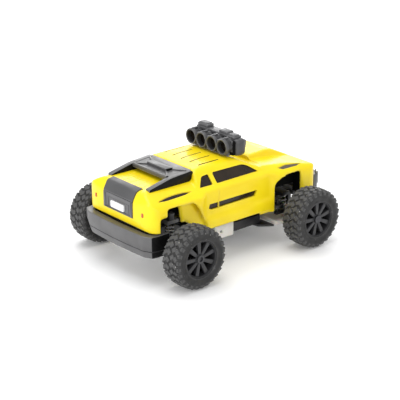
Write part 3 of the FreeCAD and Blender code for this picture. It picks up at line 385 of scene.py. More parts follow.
@dataclass(frozen=True)
class Finish:
    """A finish made of procedural nodes. Sizes are millimetres.

    Attributes:
        name: The material's name.
        colour: Base colour.
        shade: Colour that the mottling drifts to.
        roughness: Middle roughness.
        spread: How far roughness drifts from the middle.
        patch: Size of the drift in colour and roughness.
        grain: Size of the surface grain.
        relief: Depth of the surface grain.
        edge_wear_and_highlight: How far raised edges lighten, partly as rubbing and partly as a
            painted highlight.
        worn_and_lit_colour: The lighter edge colour, for rubbed edges and a painted highlight.
        specks: Share of dust specks, from 0 to 1.
        metallic: 1 for bare metal.
        coat: Clear coat on top.
        sheen: Strength of the plain surface reflection.
        subsurface: Light that passes through the skin.
    """

    name: str
    colour: Triple
    shade: Triple
    roughness: float = 0.4
    spread: float = 0.06
    patch: float = 3.0
    grain: float = 0.25
    relief: float = 0.006
    edge_wear_and_highlight: float = 0.0
    worn_and_lit_colour: Triple = (0.2, 0.2, 0.2)
    specks: float = 0.0
    metallic: float = 0.0
    coat: float = 0.0
    sheen: float = 0.5
    subsurface: float = 0.0

    def noise(self, tree: bpy.types.NodeTree, size: float, detail: float = 3.0) -> bpy.types.Node:
        """Add a noise of one feature size on Object coordinates."""
        node = tree.nodes.new("ShaderNodeTexNoise")
        node.inputs["Scale"].default_value = 1 / (size * MM)
        node.inputs["Detail"].default_value = detail
        place = tree.nodes.new("ShaderNodeTexCoord")
        tree.links.new(place.outputs["Object"], node.inputs["Vector"])
        return node

    def ramp(self, tree: bpy.types.NodeTree, source: bpy.types.NodeSocket, low: Point,
             high: Point) -> bpy.types.NodeSocket:
        """Map a value from one range to another.

        Args:
            tree: The material's nodes.
            source: The value.
            low: The lowest value and what it becomes.
            high: The highest value and what it becomes.

        Returns:
            The mapped value.
        """
        node = tree.nodes.new("ShaderNodeMapRange")
        for word, number in (("From Min", low[0]), ("To Min", low[1]),
                             ("From Max", high[0]), ("To Max", high[1])):
            node.inputs[word].default_value = number
        tree.links.new(source, node.inputs["Value"])
        return node.outputs["Result"]

    def blend(self, tree: bpy.types.NodeTree, share: bpy.types.NodeSocket,
              first: bpy.types.NodeSocket | Triple, second: Triple) -> bpy.types.NodeSocket:
        """Mix two colours by a share.

        Args:
            tree: The material's nodes.
            share: How much of the second colour shows.
            first: The first colour, or a socket that carries it.
            second: The second colour.

        Returns:
            The mixed colour.
        """
        node = tree.nodes.new("ShaderNodeMix")
        node.data_type = "RGBA"
        tree.links.new(share, node.inputs["Factor"])
        if isinstance(first, tuple):
            node.inputs["A"].default_value = (*first, 1)
        else:
            tree.links.new(first, node.inputs["A"])
        node.inputs["B"].default_value = (*second, 1)
        return node.outputs["Result"]

    def make(self) -> bpy.types.Material:
        """Build the material.

        Returns:
            The material, ready for a slot.
        """
        material = bpy.data.materials.new(self.name)
        material.use_nodes = True
        tree = material.node_tree
        shader = tree.nodes["Principled BSDF"]
        settings = {"Metallic": self.metallic, "Coat Weight": self.coat,
                    "Specular IOR Level": self.sheen, "Coat Roughness": COAT_ROUGHNESS}
        if self.subsurface:
            settings |= {"Subsurface Weight": self.subsurface, "Subsurface Scale": MM}
        for word, number in settings.items():
            shader.inputs[word].default_value = number
        drift = self.noise(tree, self.patch)
        colour = self.blend(tree, self.ramp(tree, drift.outputs["Fac"], (0.35, 0), (0.65, 1)),
                            self.colour, self.shade)
        # Raised edges lighten towards the edge colour: partly rubbed edges, partly a painted
        # highlight.
        if self.edge_wear_and_highlight:
            geometry = tree.nodes.new("ShaderNodeNewGeometry")
            edge = self.ramp(tree, geometry.outputs["Pointiness"], (0.51, 0), (0.6, self.edge_wear_and_highlight))
            colour = self.blend(tree, edge, colour, self.worn_and_lit_colour)
        if self.specks:
            dust = self.noise(tree, DUST_SIZE, 1.0)
            fleck = self.ramp(tree, dust.outputs["Fac"], (0.8 - self.specks, 0),
                              (0.83 - self.specks, 1))
            colour = self.blend(tree, fleck, colour, DUST_COLOUR)
        tree.links.new(colour, shader.inputs["Base Color"])
        gloss = self.ramp(tree, drift.outputs["Fac"], (0.3, self.roughness - self.spread),
                          (0.7, self.roughness + self.spread))
        tree.links.new(gloss, shader.inputs["Roughness"])
        skin = self.noise(tree, self.grain, 2.0)
        bump = tree.nodes.new("ShaderNodeBump")
        bump.inputs["Strength"].default_value = BUMP_STRENGTH
        bump.inputs["Distance"].default_value = self.relief * MM
        tree.links.new(skin.outputs["Fac"], bump.inputs["Height"])
        tree.links.new(bump.outputs["Normal"], shader.inputs["Normal"])
        return material


class Shelf:
    """Every finish of the truck, made once: one for each of the record's slots, and the looks
    that some pieces take instead of their slot's own; some looks are painted light and shade."""

    # Lighter edge colours below stand partly for rubbed edges, partly for painted highlights.
    FINISHES = {
        "body_yellow": Finish(
            "yellow_shell", (0.95, 0.74, 0.006), (0.92, 0.69, 0.005), roughness=0.36, spread=0.05,
            patch=6, grain=0.5, relief=0.004, edge_wear_and_highlight=0.4, worn_and_lit_colour=(1.0, 0.86, 0.2), coat=0.2,
            sheen=0.25),
        "charcoal_plastic": Finish(
            "charcoal_trim", (0.028, 0.028, 0.03), (0.022, 0.022, 0.024), roughness=0.4,
            grain=0.22, relief=0.008, patch=4, edge_wear_and_highlight=0.7, worn_and_lit_colour=(0.16, 0.16, 0.165)),
        "black_plastic": Finish(
            "black_chassis", (0.016, 0.016, 0.018), (0.01, 0.01, 0.011), roughness=0.38,
            grain=0.3, relief=0.008, patch=5),
        "dark_glazing": Finish(
            "smoked_windows", (0.028, 0.018, 0.01), (0.018, 0.012, 0.007), roughness=0.22,
            grain=1.5, relief=0.003, sheen=0.25, coat=0.15),
        "lamp_lens": Finish(
            "lamp_bowl", (0.012, 0.009, 0.006), (0.007, 0.005, 0.004), roughness=0.4, grain=0.5,
            relief=0.01, sheen=0.06),
        "clear_lens": Finish(
            "clear_lens", (0.42, 0.43, 0.45), (0.3, 0.31, 0.33), roughness=0.15, grain=0.5,
            relief=0.01, patch=0.8, metallic=0.4, coat=0.6),
        "orange_lens": Finish(
            "orange_lens", (0.6, 0.14, 0.02), (0.5, 0.11, 0.015), roughness=0.25, patch=0.6,
            coat=0.4),
        "plate_white": Finish(
            "plate_white", (0.9, 0.9, 0.9), (0.8, 0.8, 0.82), roughness=0.5, patch=1.0),
        "white_nylon": Finish(
            "white_nylon", (0.82, 0.8, 0.76), (0.76, 0.73, 0.68), roughness=0.48, patch=3,
            grain=0.4, subsurface=0.2),
        "steel": Finish(
            "plated_steel", (0.36, 0.36, 0.37), (0.28, 0.28, 0.3), roughness=0.28, metallic=1.0,
            patch=1.5, grain=0.15, relief=0.003),
        "brass": Finish(
            "turned_brass", (0.7, 0.48, 0.2), (0.6, 0.4, 0.16), roughness=0.3, metallic=1.0,
            patch=1.5, grain=0.12),
        "battery_wrap": Finish(
            "cell_wrap", (0.16, 0.2, 0.26), (0.12, 0.16, 0.22), roughness=0.3, patch=4, grain=1.2,
            relief=0.02, coat=0.3),
        "board_green": Finish(
            "circuit_board", (0.01, 0.09, 0.04), (0.008, 0.06, 0.03), roughness=0.35, patch=1.2,
            grain=0.6, relief=0.015, coat=0.3),
        "rim_plastic": Finish(
            "rim_plastic", (0.013, 0.013, 0.014), (0.01, 0.01, 0.011), roughness=0.36, grain=0.2,
            relief=0.005, edge_wear_and_highlight=0.5, worn_and_lit_colour=(0.09, 0.09, 0.095), sheen=0.35),
        "tyre_rubber": Finish(
            "tyre_rubber", (0.018, 0.017, 0.017), (0.012, 0.012, 0.012), roughness=0.55,
            spread=0.1, patch=2, grain=0.18, relief=0.02, edge_wear_and_highlight=0.6, worn_and_lit_colour=(0.1, 0.1, 0.1),
            specks=0.04, sheen=0.4),
        # Painted shadow: near-black for sheets set where there is only shade, in the roof grooves,
        # the wheel wells, the light bar's groove and behind the spokes.
        "shadow": Finish(
            "painted_shadow_black", (0.003, 0.003, 0.003), (0.002, 0.002, 0.002), roughness=0.7, patch=2,
            sheen=0.1),
        "vent_grey": Finish(
            "vent_grey", (0.12, 0.1, 0.075), (0.09, 0.075, 0.055), roughness=0.35, patch=2),
        # Painted sheen: a lighter copy of the charcoal trim for the sail's top, which catches the
        # light.
        "sail_top": Finish(
            "painted_sheen_top", (0.08, 0.078, 0.08), (0.06, 0.059, 0.06), roughness=0.42, grain=0.22,
            relief=0.007, patch=3, coat=0.1, edge_wear_and_highlight=0.5, worn_and_lit_colour=(0.24, 0.24, 0.24)),
        # Painted highlight: a lighter copy of the charcoal trim for the rear tray's lit face.
        "tray_face": Finish(
            "painted_highlight_tray", (0.07, 0.069, 0.072), (0.055, 0.054, 0.056), roughness=0.35, grain=0.22,
            relief=0.007, patch=5, edge_wear_and_highlight=0.6, worn_and_lit_colour=(0.25, 0.25, 0.25)),
        # Painted shade: a near-black copy of the charcoal trim for the shaded side faces of the
        # sail and the rear tray.
        "deep_side": Finish(
            "painted_shade_black", (0.006, 0.006, 0.006), (0.003, 0.003, 0.003), roughness=0.5,
            grain=0.25, patch=4, sheen=0.15),
        "dark_steel": Finish(
            "blackened_steel", (0.07, 0.07, 0.075), (0.05, 0.05, 0.055), roughness=0.35,
            metallic=0.8, grain=0.15, patch=1),
    }

    def __init__(self) -> None:
        """Make every finish."""
        self.made = {slot: finish.make() for slot, finish in self.FINISHES.items()}

    def __getitem__(self, slot: str) -> bpy.types.Material:
        """The finish of one of the record's slots, or one of the other looks."""
        return self.made[slot]


# ---------------------------------------------------------------- pieces


@dataclass
class Assembly:
    """A group of pieces that is shaped, placed and dressed together."""

    shelf: Shelf
    home: Matrix

    def piece(self, name: str, bm: BMesh, slot: str, body: str, nodes: Sequence[str] = (),
              crease: float = CREASE, look: str | None = None,
              second: tuple[str, Callable] | None = None) -> bpy.types.Object:
        """Turn a shape in truck millimetres into a finished piece on a body.

        Args:
            name: The piece's name.
            bm: The shape.
            slot: The record's slot whose finish it takes.
            body: The body that it rides on.
            nodes: The frame's nodes that it stands for.
            crease: Angle in degrees past which an edge stays sharp to the eye.
            look: The finish, if it isn't the slot's own.
            second: A second finish, and a test that picks its faces.

        Returns:
            The piece.
        """
        bmesh.ops.transform(bm, verts=bm.verts, matrix=self.home)
        bmesh.ops.remove_doubles(bm, verts=bm.verts, dist=1e-7)
        if second:
            for face in bm.faces:
                face.material_index = 1 if second[1](face) else 0
        mesh = bpy.data.meshes.new(name)
        bm.to_mesh(mesh)
        bm.free()
        mesh.materials.append(self.shelf[look or slot])
        if second:
            mesh.materials.append(self.shelf[second[0]])
        mesh.shade_smooth()
        mesh.set_sharp_from_angle(angle=math.radians(crease))
        thing = stand(name, mesh)
        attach(thing, body)
        if nodes:
            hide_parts(*nodes)
        LOG.info("%s: %d faces on %s", name, len(mesh.polygons), body)
        return thing

    def soft_copy(self, node: str, slot: str, body: str, width: float = 0.18,
                  over: float = 35.0) -> bpy.types.Object:
        """Stand a copy of a frame node, with moulded edges, in the node's place.

        Args:
            node: The node.
            slot: The slot whose finish it takes.
            body: The body that it rides on.
            width: How much its edges are rounded.
            over: Angle in degrees past which an edge is rounded.

        Returns:
            The piece.
        """
        bm = bmesh.new()
        bm.from_mesh(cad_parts[node].data)
        bmesh.ops.transform(bm, verts=bm.verts, matrix=self.home.inverted())
        bmesh.ops.remove_doubles(bm, verts=bm.verts, dist=0.002)
        bmesh.ops.dissolve_limit(bm, angle_limit=math.radians(1.0), verts=bm.verts,
                                 edges=bm.edges)

        def dress(thing: bpy.types.Object) -> None:
            """Round the passing object's sharp edges."""
            edge = thing.modifiers.new("edge", "BEVEL")
            edge.width = width
            edge.segments = 2
            edge.limit_method = "ANGLE"
            edge.angle_limit = math.radians(over)

        return self.piece(f"{node}_moulding", evaluated(bm, dress), slot, body, [node])

    def paint(self, node: str, look: str) -> None:
        """Give a frame node that stays in sight its finish."""
        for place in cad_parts[node].material_slots:
            place.material = self.shelf[look]
        LOG.info("%s: dressed in %s", node, look)


@dataclass
class BodyShell(Assembly):
    """Yellow moulded shell with its windows, slots, vents and lamps."""

    GROOVES = range(-2, 3)
    # Boxes of near-black painted shade inside the wheel wells.
    LINERS = (
        ((-33.2, -16.5), (11.35, 11.9), (18.8, 27.0)),
        ((15.4, 28.6), (12.95, 13.4), (18.4, 25.4)),
        ((27.4, 27.8), (13.2, 16.3), (15.5, 23.6)),
        ((17.5, 27.6), (13.2, 16.6), (23.25, 23.6)),
        ((-28.8, -23.3), (11.6, 15.9), (23.45, 23.8)),
    )
    PAST = 20
    wall: float = 1.2
    voxel: float = 0.4
    half: float = 17.6
    door: float = 15.9
    glass_depth: float = 0.4
    glass_thick: float = 1.0
    groove_pitch: float = 4.27
    rib_pitch: float = 3.1
    play: float = 0.02
    window_reach: Reach = (9, 16)
    screen_reach: Reach = (4.2, 14.5)
    side: Outline = (
        (-34.7, 16.7, 0.6), (-35.2, 19.8, 0.8), (-35.15, 25.1, 0.6), (-33.4, 28.1, 0.8),
        (-31.0, 28.5, 0.8), (-15.0, 28.4, 2.0), (14.0, 27.3, 2.0), (24.0, 26.4, 2.0),
        (33.0, 24.7, 1.6), (36.0, 23.4, 1.2), (37.3, 21.3, 0.8), (37.3, 15.5, 0.6),
        (36.6, 14.2, 0.4), (28.0, 14.2, 0.4), (16.4, 11.5, 0.3), (10.6, 11.5, 0.3),
        (10.4, 12.5, 0.3), (-15.0, 12.5, 0.5), (-20.5, 17.0, 0.5),
    )
    section: Outline = (
        (17.6, 8.0, 0.0), (17.6, 22.0, 1.4), (16.9, 24.6, 1.2), (14.2, 26.5, 1.6),
        (10.6, 28.3, 1.6), (5.0, 28.9, 1.0),
    )
    plan: Outline = (
        (-35.3, 0.0, 0.0), (-35.2, 8.0, 1.0), (-34.9, 12.8, 1.4), (-34.2, 15.7, 1.1),
        (-32.6, 17.3, 1.1), (-29.6, 17.6, 1.0), (-15.6, 17.6, 1.0), (-12.8, 15.9, 1.0),
        (14.6, 15.9, 1.0), (18.0, 17.6, 1.0), (32.3, 17.6, 1.2), (34.5, 16.2, 1.2),
        (35.9, 13.2, 1.2), (36.9, 8.0, 1.0), (37.3, 0.0, 0.0),
    )
    cabin_side: Outline = (
        (-15.3, 24.5, 0.0), (-13.9, 31.1, 0.9), (-8.0, 31.9, 1.5), (0.0, 32.0, 1.5),
        (3.8, 31.5, 1.2), (13.4, 26.7, 0.6), (13.4, 24.5, 0.0),
    )
    cabin_section: Outline = (
        (14.4, 24.5, 0.0), (14.1, 26.4, 0.6), (12.1, 29.6, 1.0), (10.9, 31.1, 0.9),
        (8.8, 31.8, 0.9), (0.5, 32.1, 0.0),
    )
    door_window: Outline = (
        (-6.7, 26.2, 0.5), (-7.2, 29.6, 0.6), (6.3, 29.5, 1.8), (11.0, 26.3, 0.6),
    )
    quarter_window: Outline = (
        (-13.9, 26.3, 0.5), (-11.8, 29.3, 0.6), (-8.9, 29.5, 0.5), (-8.3, 26.2, 0.5),
    )
    screen: Outline = (
        (10.9, 27.1, 0.6), (9.0, 30.0, 0.7), (-9.0, 30.0, 0.7), (-10.9, 27.1, 0.6),
    )
    front_arch: Outline = (
        (16.4, 4.0, 0.0), (16.4, 21.3, 1.1), (18.2, 22.8, 1.0), (21.0, 23.3, 1.0),
        (27.3, 23.5, 0.5), (27.3, 4.0, 0.0),
    )
    rear_opening: Outline = (
        (-31.9, 4.0, 0.0), (-31.9, 21.4, 0.3), (-29.2, 21.3, 0.2), (-28.9, 23.7, 0.3),
        (-23.2, 23.7, 0.3), (-22.2, 18.0, 0.3), (-22.0, 4.0, 0.0),
    )
    well_recess: Outline = (
        (-31.9, 4.0, 0.0), (-31.9, 21.4, 0.3), (-29.2, 21.4, 0.2), (-28.9, 23.6, 0.3),
        (-18.2, 23.6, 1.6), (-13.4, 15.6, 0.8), (-12.0, 12.4, 0.3), (-12.0, 4.0, 0.0),
    )
    well_panel: Outline = (
        (-22.2, 17.2, 0.0), (-23.2, 24.7, 0.0), (-15.0, 24.7, 0.0), (-12.0, 23.0, 0.0),
        (-11.5, 12.6, 0.0), (-15.0, 12.6, 0.0), (-20.5, 17.2, 0.0),
    )
    scoop: Outline = (
        (12.0, 26.0, 0.0), (14.6, 28.6, 1.4), (23.9, 29.2, 2.2), (32.9, 24.9, 0.6),
        (30.0, 24.0, 0.0),
    )
    slit: Outline = (
        (-30.7, 14.75, 0.0), (-30.4, 14.3, 0.3), (-27.5, 13.8, 0.8), (-24.0, 13.55, 0.8),
        (-20.0, 13.7, 0.8), (-17.2, 14.3, 0.0), (-20.0, 14.8, 0.6), (-24.2, 14.95, 0.6),
        (-28.0, 15.0, 0.6),
    )
    vent: Outline = (
        (18.3, 14.9, 0.0), (22.4, 14.45, 0.3), (29.6, 15.3, 0.2), (26.5, 16.0, 0.3),
        (20.2, 15.9, 0.3),
    )
    sill: Outline = (
        (14.5, 12.6, 0.0), (16.5, 12.6, 0.4), (16.7, 15.6, 0.6), (15.8, 17.5, 0.6),
        (14.5, 17.5, 0.0),
    )
    slot: Outline = (
        (-11.7, 19.5, 0.3), (-11.3, 20.9, 0.2), (8.9, 20.9, 0.3), (7.9, 19.0, 0.3),
        (-10.4, 18.9, 0.5),
    )
    gate: Outline = (
        (-36.5, 19.8, 0.0), (-36.5, 30.0, 0.0), (-31.0, 30.0, 0.0), (-31.0, 28.1, 0.0),
        (-32.9, 27.6, 0.4), (-34.6, 24.9, 0.4), (-34.7, 19.8, 0.0),
    )

    @property
    def recess(self) -> float:
        """How far out the floor of the rear well's recess and of the door slots lies."""
        return self.door - 0.8

    def hull(self, depth: float) -> BMesh:
        """Share the lower body's side, cross and plan outlines, moved inwards by a depth."""
        side = prism(self.side, Axis.Y, (-22, 22), depth)
        section = prism(both(self.section), Axis.X, (-45, 45), depth)
        plan = prism(both_plan(self.plan), Axis.Z, (2, 36), depth)
        return merged(side, Merge.SHARE, section, plan)

    def cabin(self, depth: float) -> BMesh:
        """Share the cabin's side and cross outlines, moved inwards by a depth."""
        side = prism(self.cabin_side, Axis.Y, (-18, 18), depth)
        return merged(side, Merge.SHARE, prism(both(self.cabin_section), Axis.X, (-20, 20), depth))

    def blank(self) -> BMesh:
        """Shape the shell before its fine details.

        Returns:
            A thin moulding with arches and wells.
        """
        bump = soften(prism(self.scoop, Axis.Y, (-5.4, 5.4)), 0.9, 3, 50)
        bulge = prism(self.sill, Axis.X, (-12.6, 15.2))
        outer = merged(self.hull(0), Merge.ADD, self.cabin(0), bump, bulge, flipped(bulge))
        inner = self.hull(self.wall)
        arch = prism(self.front_arch, Axis.Y, (-self.PAST, self.PAST))
        recess = prism(self.well_recess, Axis.Y, (self.recess, self.PAST))
        opening = prism(self.rear_opening, Axis.Y, (12, self.PAST))
        shell = merged(outer, Merge.CUT, inner, shifted(inner, z=-3), self.cabin(self.wall),
                       arch, *with_mirror([recess]))
        panel = prism(self.well_panel, Axis.Y, (self.door - 1.9, self.recess))
        ledge = slab((-23.0, -14), (self.door - 1.9, self.half - 0.5), (23.5, 24.6))
        shell = merged(shell, Merge.ADD, *with_mirror([panel]), *with_mirror([ledge]))
        return merged(shell, Merge.CUT, *with_mirror([opening]))

    def details(self) -> list[BMesh]:
        """Tools for windows, slots, vents, grooves, lamp holes and the tailgate's recess."""
        tools = [prism(self.screen, Axis.X, self.screen_reach),
                 prism(self.gate, Axis.Y, (-7.52, 7.52)),
                 slab((34.2, 41), (-6.6, 6.6), (17, 22.1), 0.3)]
        for side in Side:
            tools += [moved(shape, side.mirror) for shape in (
                prism(self.door_window, Axis.Y, self.window_reach),
                prism(self.quarter_window, Axis.Y, self.window_reach),
                prism(self.slot, Axis.Y, (self.recess, self.PAST)),
                prism(self.slit, Axis.Z, (25.2, 30)),
                prism(self.vent, Axis.Z, (24.2, 30)),
                slab((-40, -34.3), (11.55, 12.45), (21.35, 22.75), 0.1, 1),
                rod(Axis.X, 1.75, (34, 41), (0, 9.8, 20.3), 28),
                prism([(-7.5, 21.2, 0), (-7.45, 25.4, 0), (-7.3, 25.4, 0), (-7.35, 21.2, 0)],
                      Axis.Y, (self.door - 0.15, self.PAST)),
            )]
        for i in self.GROOVES:
            tools.append(slab((-9.9, -1.4), around(i * self.groove_pitch, 0.27), (31.0, 34),
                              0.05, 1))
            tools.append(slab((-31.0, -23.5), around(i * self.rib_pitch, 0.12), (28.28, 30),
                              0.04, 1))
        return tools

    def panes(self) -> BMesh:
        """Smoked panes that just fill the window openings, a little below the paint."""
        glass = merged(self.cabin(self.glass_depth), Merge.CUT,
                       self.cabin(self.glass_depth + self.glass_thick))
        panes = []
        for side in Side:
            for window in (self.door_window, self.quarter_window):
                tool = moved(prism(window, Axis.Y, self.window_reach, self.play), side.mirror)
                panes.append(merged(glass, Merge.SHARE, tool))
        screen = prism(self.screen, Axis.X, self.screen_reach, self.play)
        panes.append(merged(glass, Merge.SHARE, screen))
        return gathered(panes)

    def build(self) -> None:
        """Build the shell, its panes, its sill strips and its lamps."""
        skin = moulded(self.blank(), self.voxel, 5)
        shell = merged(skin, Merge.CUT, *self.details())
        self.piece("shell_moulding", shell, "body_yellow", "chassis", ["body_shell"], 38)
        self.piece("window_panes", self.panes(), "dark_glazing", "chassis", ["cabin_glazing"])
        strip = slab((-12.1, 9.4), (self.door - 1.7, self.door - 0.6), (18.4, 21.6), 0.1)
        self.piece("sill_strips", pair(strip), "dark_glazing", "chassis", ["sill_inserts"])
        self.build_fender_trim()
        self.build_lamps()

    def build_fender_trim(self) -> None:
        """Dark fender slit and vent inserts, slot dividers, and painted shade in roof grooves and
        wells.
        """
        skin = merged(self.hull(0.35), Merge.CUT, self.hull(1.3))
        for outline, name, look in ((self.slit, "fender_inserts", None),
                                    (self.vent, "vent_inserts", "vent_grey")):
            insert = merged(skin, Merge.SHARE, prism(outline, Axis.Z, (22, 32), self.play))
            self.piece(name, pair(insert), "dark_glazing", "chassis", look=look)
        # Painted shadow: near-black strips under the roof grooves, so the grooves read dark.
        roof = merged(self.cabin(0.1), Merge.CUT, self.cabin(0.6))
        grooves = [slab((-9.85, -1.45), around(i * self.groove_pitch, 0.25), (30, 34))
                   for i in self.GROOVES]
        shade_strips = [merged(roof, Merge.SHARE, groove) for groove in grooves]
        self.piece("groove_shade_strips", gathered(shade_strips), "dark_glazing", "chassis", look="shadow")
        divider = slab((-7.65, -7.35), (self.door - 0.7, self.door - 0.02), (19.1, 21.0), 0.04, 1)
        self.piece("slot_dividers", pair(divider), "body_yellow", "chassis")
        # Painted shade: near-black sheets in the wheel wells, where the arches are in shade.
        shade_sheets = with_mirror(slab(*shade_sheet, 0.1, 1) for shade_sheet in self.LINERS)
        self.piece("well_liners", gathered(shade_sheets), "black_plastic", "chassis", look="shadow")

    def build_lamps(self) -> None:
        """Orange rear lamps and clear headlamps."""
        tail = slab((-35.2, -34.0), (11.6, 12.4), (21.4, 22.7), 0.18, 2)
        self.piece("rear_lamps", pair(tail), "orange_lens", "chassis", ["tail_lights"])
        head = turned([(34.6, 0.0), (34.6, 1.6), (35.9, 1.6), (36.15, 1.3), (36.2, 0.0)], Axis.X)
        head = shifted(head, y=9.8, z=20.3)
        self.piece("nose_lamps", pair(head), "lamp_lens", "chassis", ["headlights"],
                   look="clear_lens")


@dataclass
class RearTrim(Assembly):
    """Sail panel over the bed, and the tailgate panel with its blank plate."""

    DIAGONALS = (((-15.3, 9.2), (-17.5, 5.0)), ((-22.3, 8.6), (-19.8, 4.7)))
    fore: float = -13.6
    slope: float = 0.07
    sink: float = 0.05

    def sail(self) -> BMesh:
        """Shape the roof's rear panel with a sail down each side.

        Returns:
            The panel.
        """
        top = prism([(-13.6, 31.35, 0.2), (-22.7, 30.7, 0.3), (-22.9, 29.9, 0.3),
                     (-15.0, 30.3, 0.0)], Axis.Y, (-9.6, 9.6))
        wing = prism([(-14.3, 27.6, 0.4), (-13.5, 30.6, 0.8), (-14.2, 31.4, 0.4),
                      (-22.7, 30.75, 1.2), (-30.9, 28.9, 0.3), (-31.0, 28.0, 0.2),
                      (-24, 27.6, 0.4)], Axis.Y, (8.7, 10.7))
        soften(wing, 0.22, 2, 50)
        rise = prism([(-17.3, 5.2, 0.3), (-19.9, 4.9, 0.3), (-19.9, -4.9, 0.3),
                      (-17.3, -5.2, 0.3)], Axis.Z, (30.0, 31.75))
        bars = [self.bar(*ends) for ends in self.DIAGONALS]
        edge = self.bar((-22.5, -8.6), (-22.5, 8.6))
        return merged(top, Merge.ADD, *with_mirror([wing]), soften(rise, 0.15, 2, 50),
                      *with_mirror(bars), edge)

    def bar(self, start: Point, end: Point) -> BMesh:
        """Raised rib on the sail panel between two places in plan."""
        along = Vector((end[0] - start[0], end[1] - start[1]))
        bm = slab((0, along.length), (-0.3, 0.3), (30.3, 31.7), 0.12, 2)
        turn = Matrix.Rotation(math.atan2(along.y, along.x), 4, "Z")
        laid = Matrix.Translation((start[0], start[1], 0)) @ turn
        bmesh.ops.transform(bm, verts=bm.verts, matrix=laid)
        for vert in bm.verts:
            vert.co.z += (vert.co.x - self.fore) * self.slope - self.sink
        return bm

    def gate_panel(self) -> BMesh:
        """Bent tailgate panel with a framed recess for the plate."""
        outline = [(-35.45, 19.85, 0.1), (-35.4, 25.2, 0.5), (-33.7, 28.35, 0.6),
                   (-31.1, 28.75, 0.2), (-31.1, 28.15, 0.1), (-33.0, 27.6, 0.3),
                   (-34.7, 24.9, 0.3), (-34.75, 19.85, 0.1)]
        panel = soften(prism(outline, Axis.Y, (-7.48, 7.48)), 0.12, 2, 50)
        frame_cut = slab((-36, -35.15), (-6.5, 6.5), (20.3, 24.9), 0.12, 1)
        groove = prism([(-36, 25.05, 0), (-36, 25.2, 0), (-34.9, 25.2, 0), (-34.9, 25.05, 0)],
                       Axis.Y, (-8, 8))
        return merged(panel, Merge.CUT, frame_cut, groove)

    def build(self) -> None:
        """Build the sail panel, the tailgate panel, its inner frame and its blank plate."""
        # The sail's top takes a lighter copy of the charcoal as painted sheen, and its side faces
        # a near-black copy as painted shade.
        self.piece("sail_moulding", self.sail(), "charcoal_plastic", "chassis", ["sail_panel"],
                   look="sail_top",
                   second=("deep_side", lambda face: abs(face.normal.y) > 0.7))
        self.piece("tailgate_moulding", self.gate_panel(), "charcoal_plastic", "chassis",
                   ["tailgate_panel"])
        rim = merged(slab((-35.3, -35.1), (-5.5, 5.5), (20.2, 23.6), 0.06, 1), Merge.CUT,
                     slab((-36, -35), (-5.2, 5.2), (20.45, 23.3)))
        self.piece("tailgate_frame", rim, "charcoal_plastic", "chassis")
        outline = [(3.4, 20.75, 0.45), (3.4, 22.95, 0.45), (-3.4, 22.95, 0.45),
                   (-3.4, 20.75, 0.45)]
        plate = soften(prism(outline, Axis.X, (-35.62, -35.1)), 0.08, 2, 50)
        border = merged(prism(outline, Axis.X, (-35.66, -35.5)), Merge.CUT,
                        prism(outline, Axis.X, (-36, -35), 0.2))
        self.piece("blank_plate", gathered([plate, border]), "plate_white", "chassis",
                   ["number_plate"])


@dataclass
class LightBar(Assembly):
    """Four open lamp cups facing back on a roof housing, which STEPS builds up from blocks."""

    STEPS = (
        ((4.3, 8.8), (-10.9, 10.9), (31.6, 37.2), 1.4, 4),
        ((3.25, 3.6), (-9.9, 9.9), (33.3, 37.1), 0.15),
        ((8.1, 9.7), (-9.6, 9.6), (33.3, 36.4), 0.5),
        ((9.3, 10.5), (-8.8, -5.6), (33.9, 35.9), 0.35),
        ((9.3, 10.5), (5.6, 8.8), (33.9, 35.9), 0.35),
        ((4.7, 8.2), (-9.0, 9.6), (37.0, 37.9), 0.35),
        ((4.9, 8.0), (4.2, 9.3), (37.7, 39.0), 0.5),
        ((5.2, 7.6), (4.8, 8.7), (38.7, 39.24), 0.2),
        ((4.9, 7.9), (-5.6, -1.4), (37.6, 38.8), 0.45),
        ((5.1, 7.6), (-8.8, -5.3), (37.4, 38.35), 0.4),
    )
    cups: int = 4
    pitch: float = 5.1
    axis_height: float = 35.1
    face: float = 0.6
    plate: float = 3.6

    def cup(self) -> BMesh:
        """One cup with a thick rounded rim and a deep bore, turned about its own axis."""
        profile = [(4.4, 2.35), (1.3, 2.35), (1.1, 2.6), (0.35, 2.66), (0.08, 2.55),
                   (0.0, 2.35), (0.08, 2.12), (0.35, 1.98), (2.6, 1.75), (2.6, 0.0)]
        return turned(profile, Axis.X, 40)

    def build(self) -> None:
        """Build the housing, the cups with their collars, and the lamp bowls."""
        parts = [slab(*step) for step in self.STEPS]
        places = [Vector((self.face, (i - (self.cups - 1) / 2) * self.pitch, self.axis_height))
                  for i in range(self.cups)]
        for place in places:
            parts.append(moved(self.cup(), Matrix.Translation(place)))
            parts.append(slab((self.face + 0.6, self.plate), around(place.y, 0.35),
                              (37.3, 38.0), 0.15))
        for place in places[:-1]:
            parts.append(slab((self.face + 0.8, self.plate),
                              around(place.y + self.pitch / 2, 0.5), (33.8, 36.9), 0.2))
        parts.append(slab((2.2, 6.5), (-8.8, 8.8), (31.9, 33.2), 0.3))
        self.piece("light_bar_housing", gathered(parts), "charcoal_plastic", "chassis",
                   ["roof_light_bar"])
        # Painted shade: a near-black block behind the cups' collars, so the groove between cups
        # and housing reads dark.
        groove_shade = slab((3.3, 4.8), (-10.3, 10.3), (32.05, 37.0), 0.6)
        self.piece("light_bar_groove_shade", groove_shade, "black_plastic", "chassis", look="shadow")
        bowl = turned([(2.55, 0.0), (2.5, 0.55), (2.45, 0.6), (2.2, 1.2), (1.5, 1.66),
                       (1.55, 1.72), (2.62, 1.72), (2.62, 0.0)], Axis.X, 32)
        bulb = turned([(1.85, 0.0), (1.95, 0.34), (2.3, 0.5), (2.7, 0.5), (2.7, 0.0)], Axis.X, 20)
        bulbs = [moved(bulb, Matrix.Translation(place)) for place in places]
        bowls = [moved(bowl, Matrix.Translation(place)) for place in places]
        self.piece("lamp_bulbs", gathered(bulbs), "lamp_lens", "chassis", look="clear_lens")
        self.piece("lamp_bowls", gathered(bowls), "lamp_lens", "chassis", ["roof_lamps"])


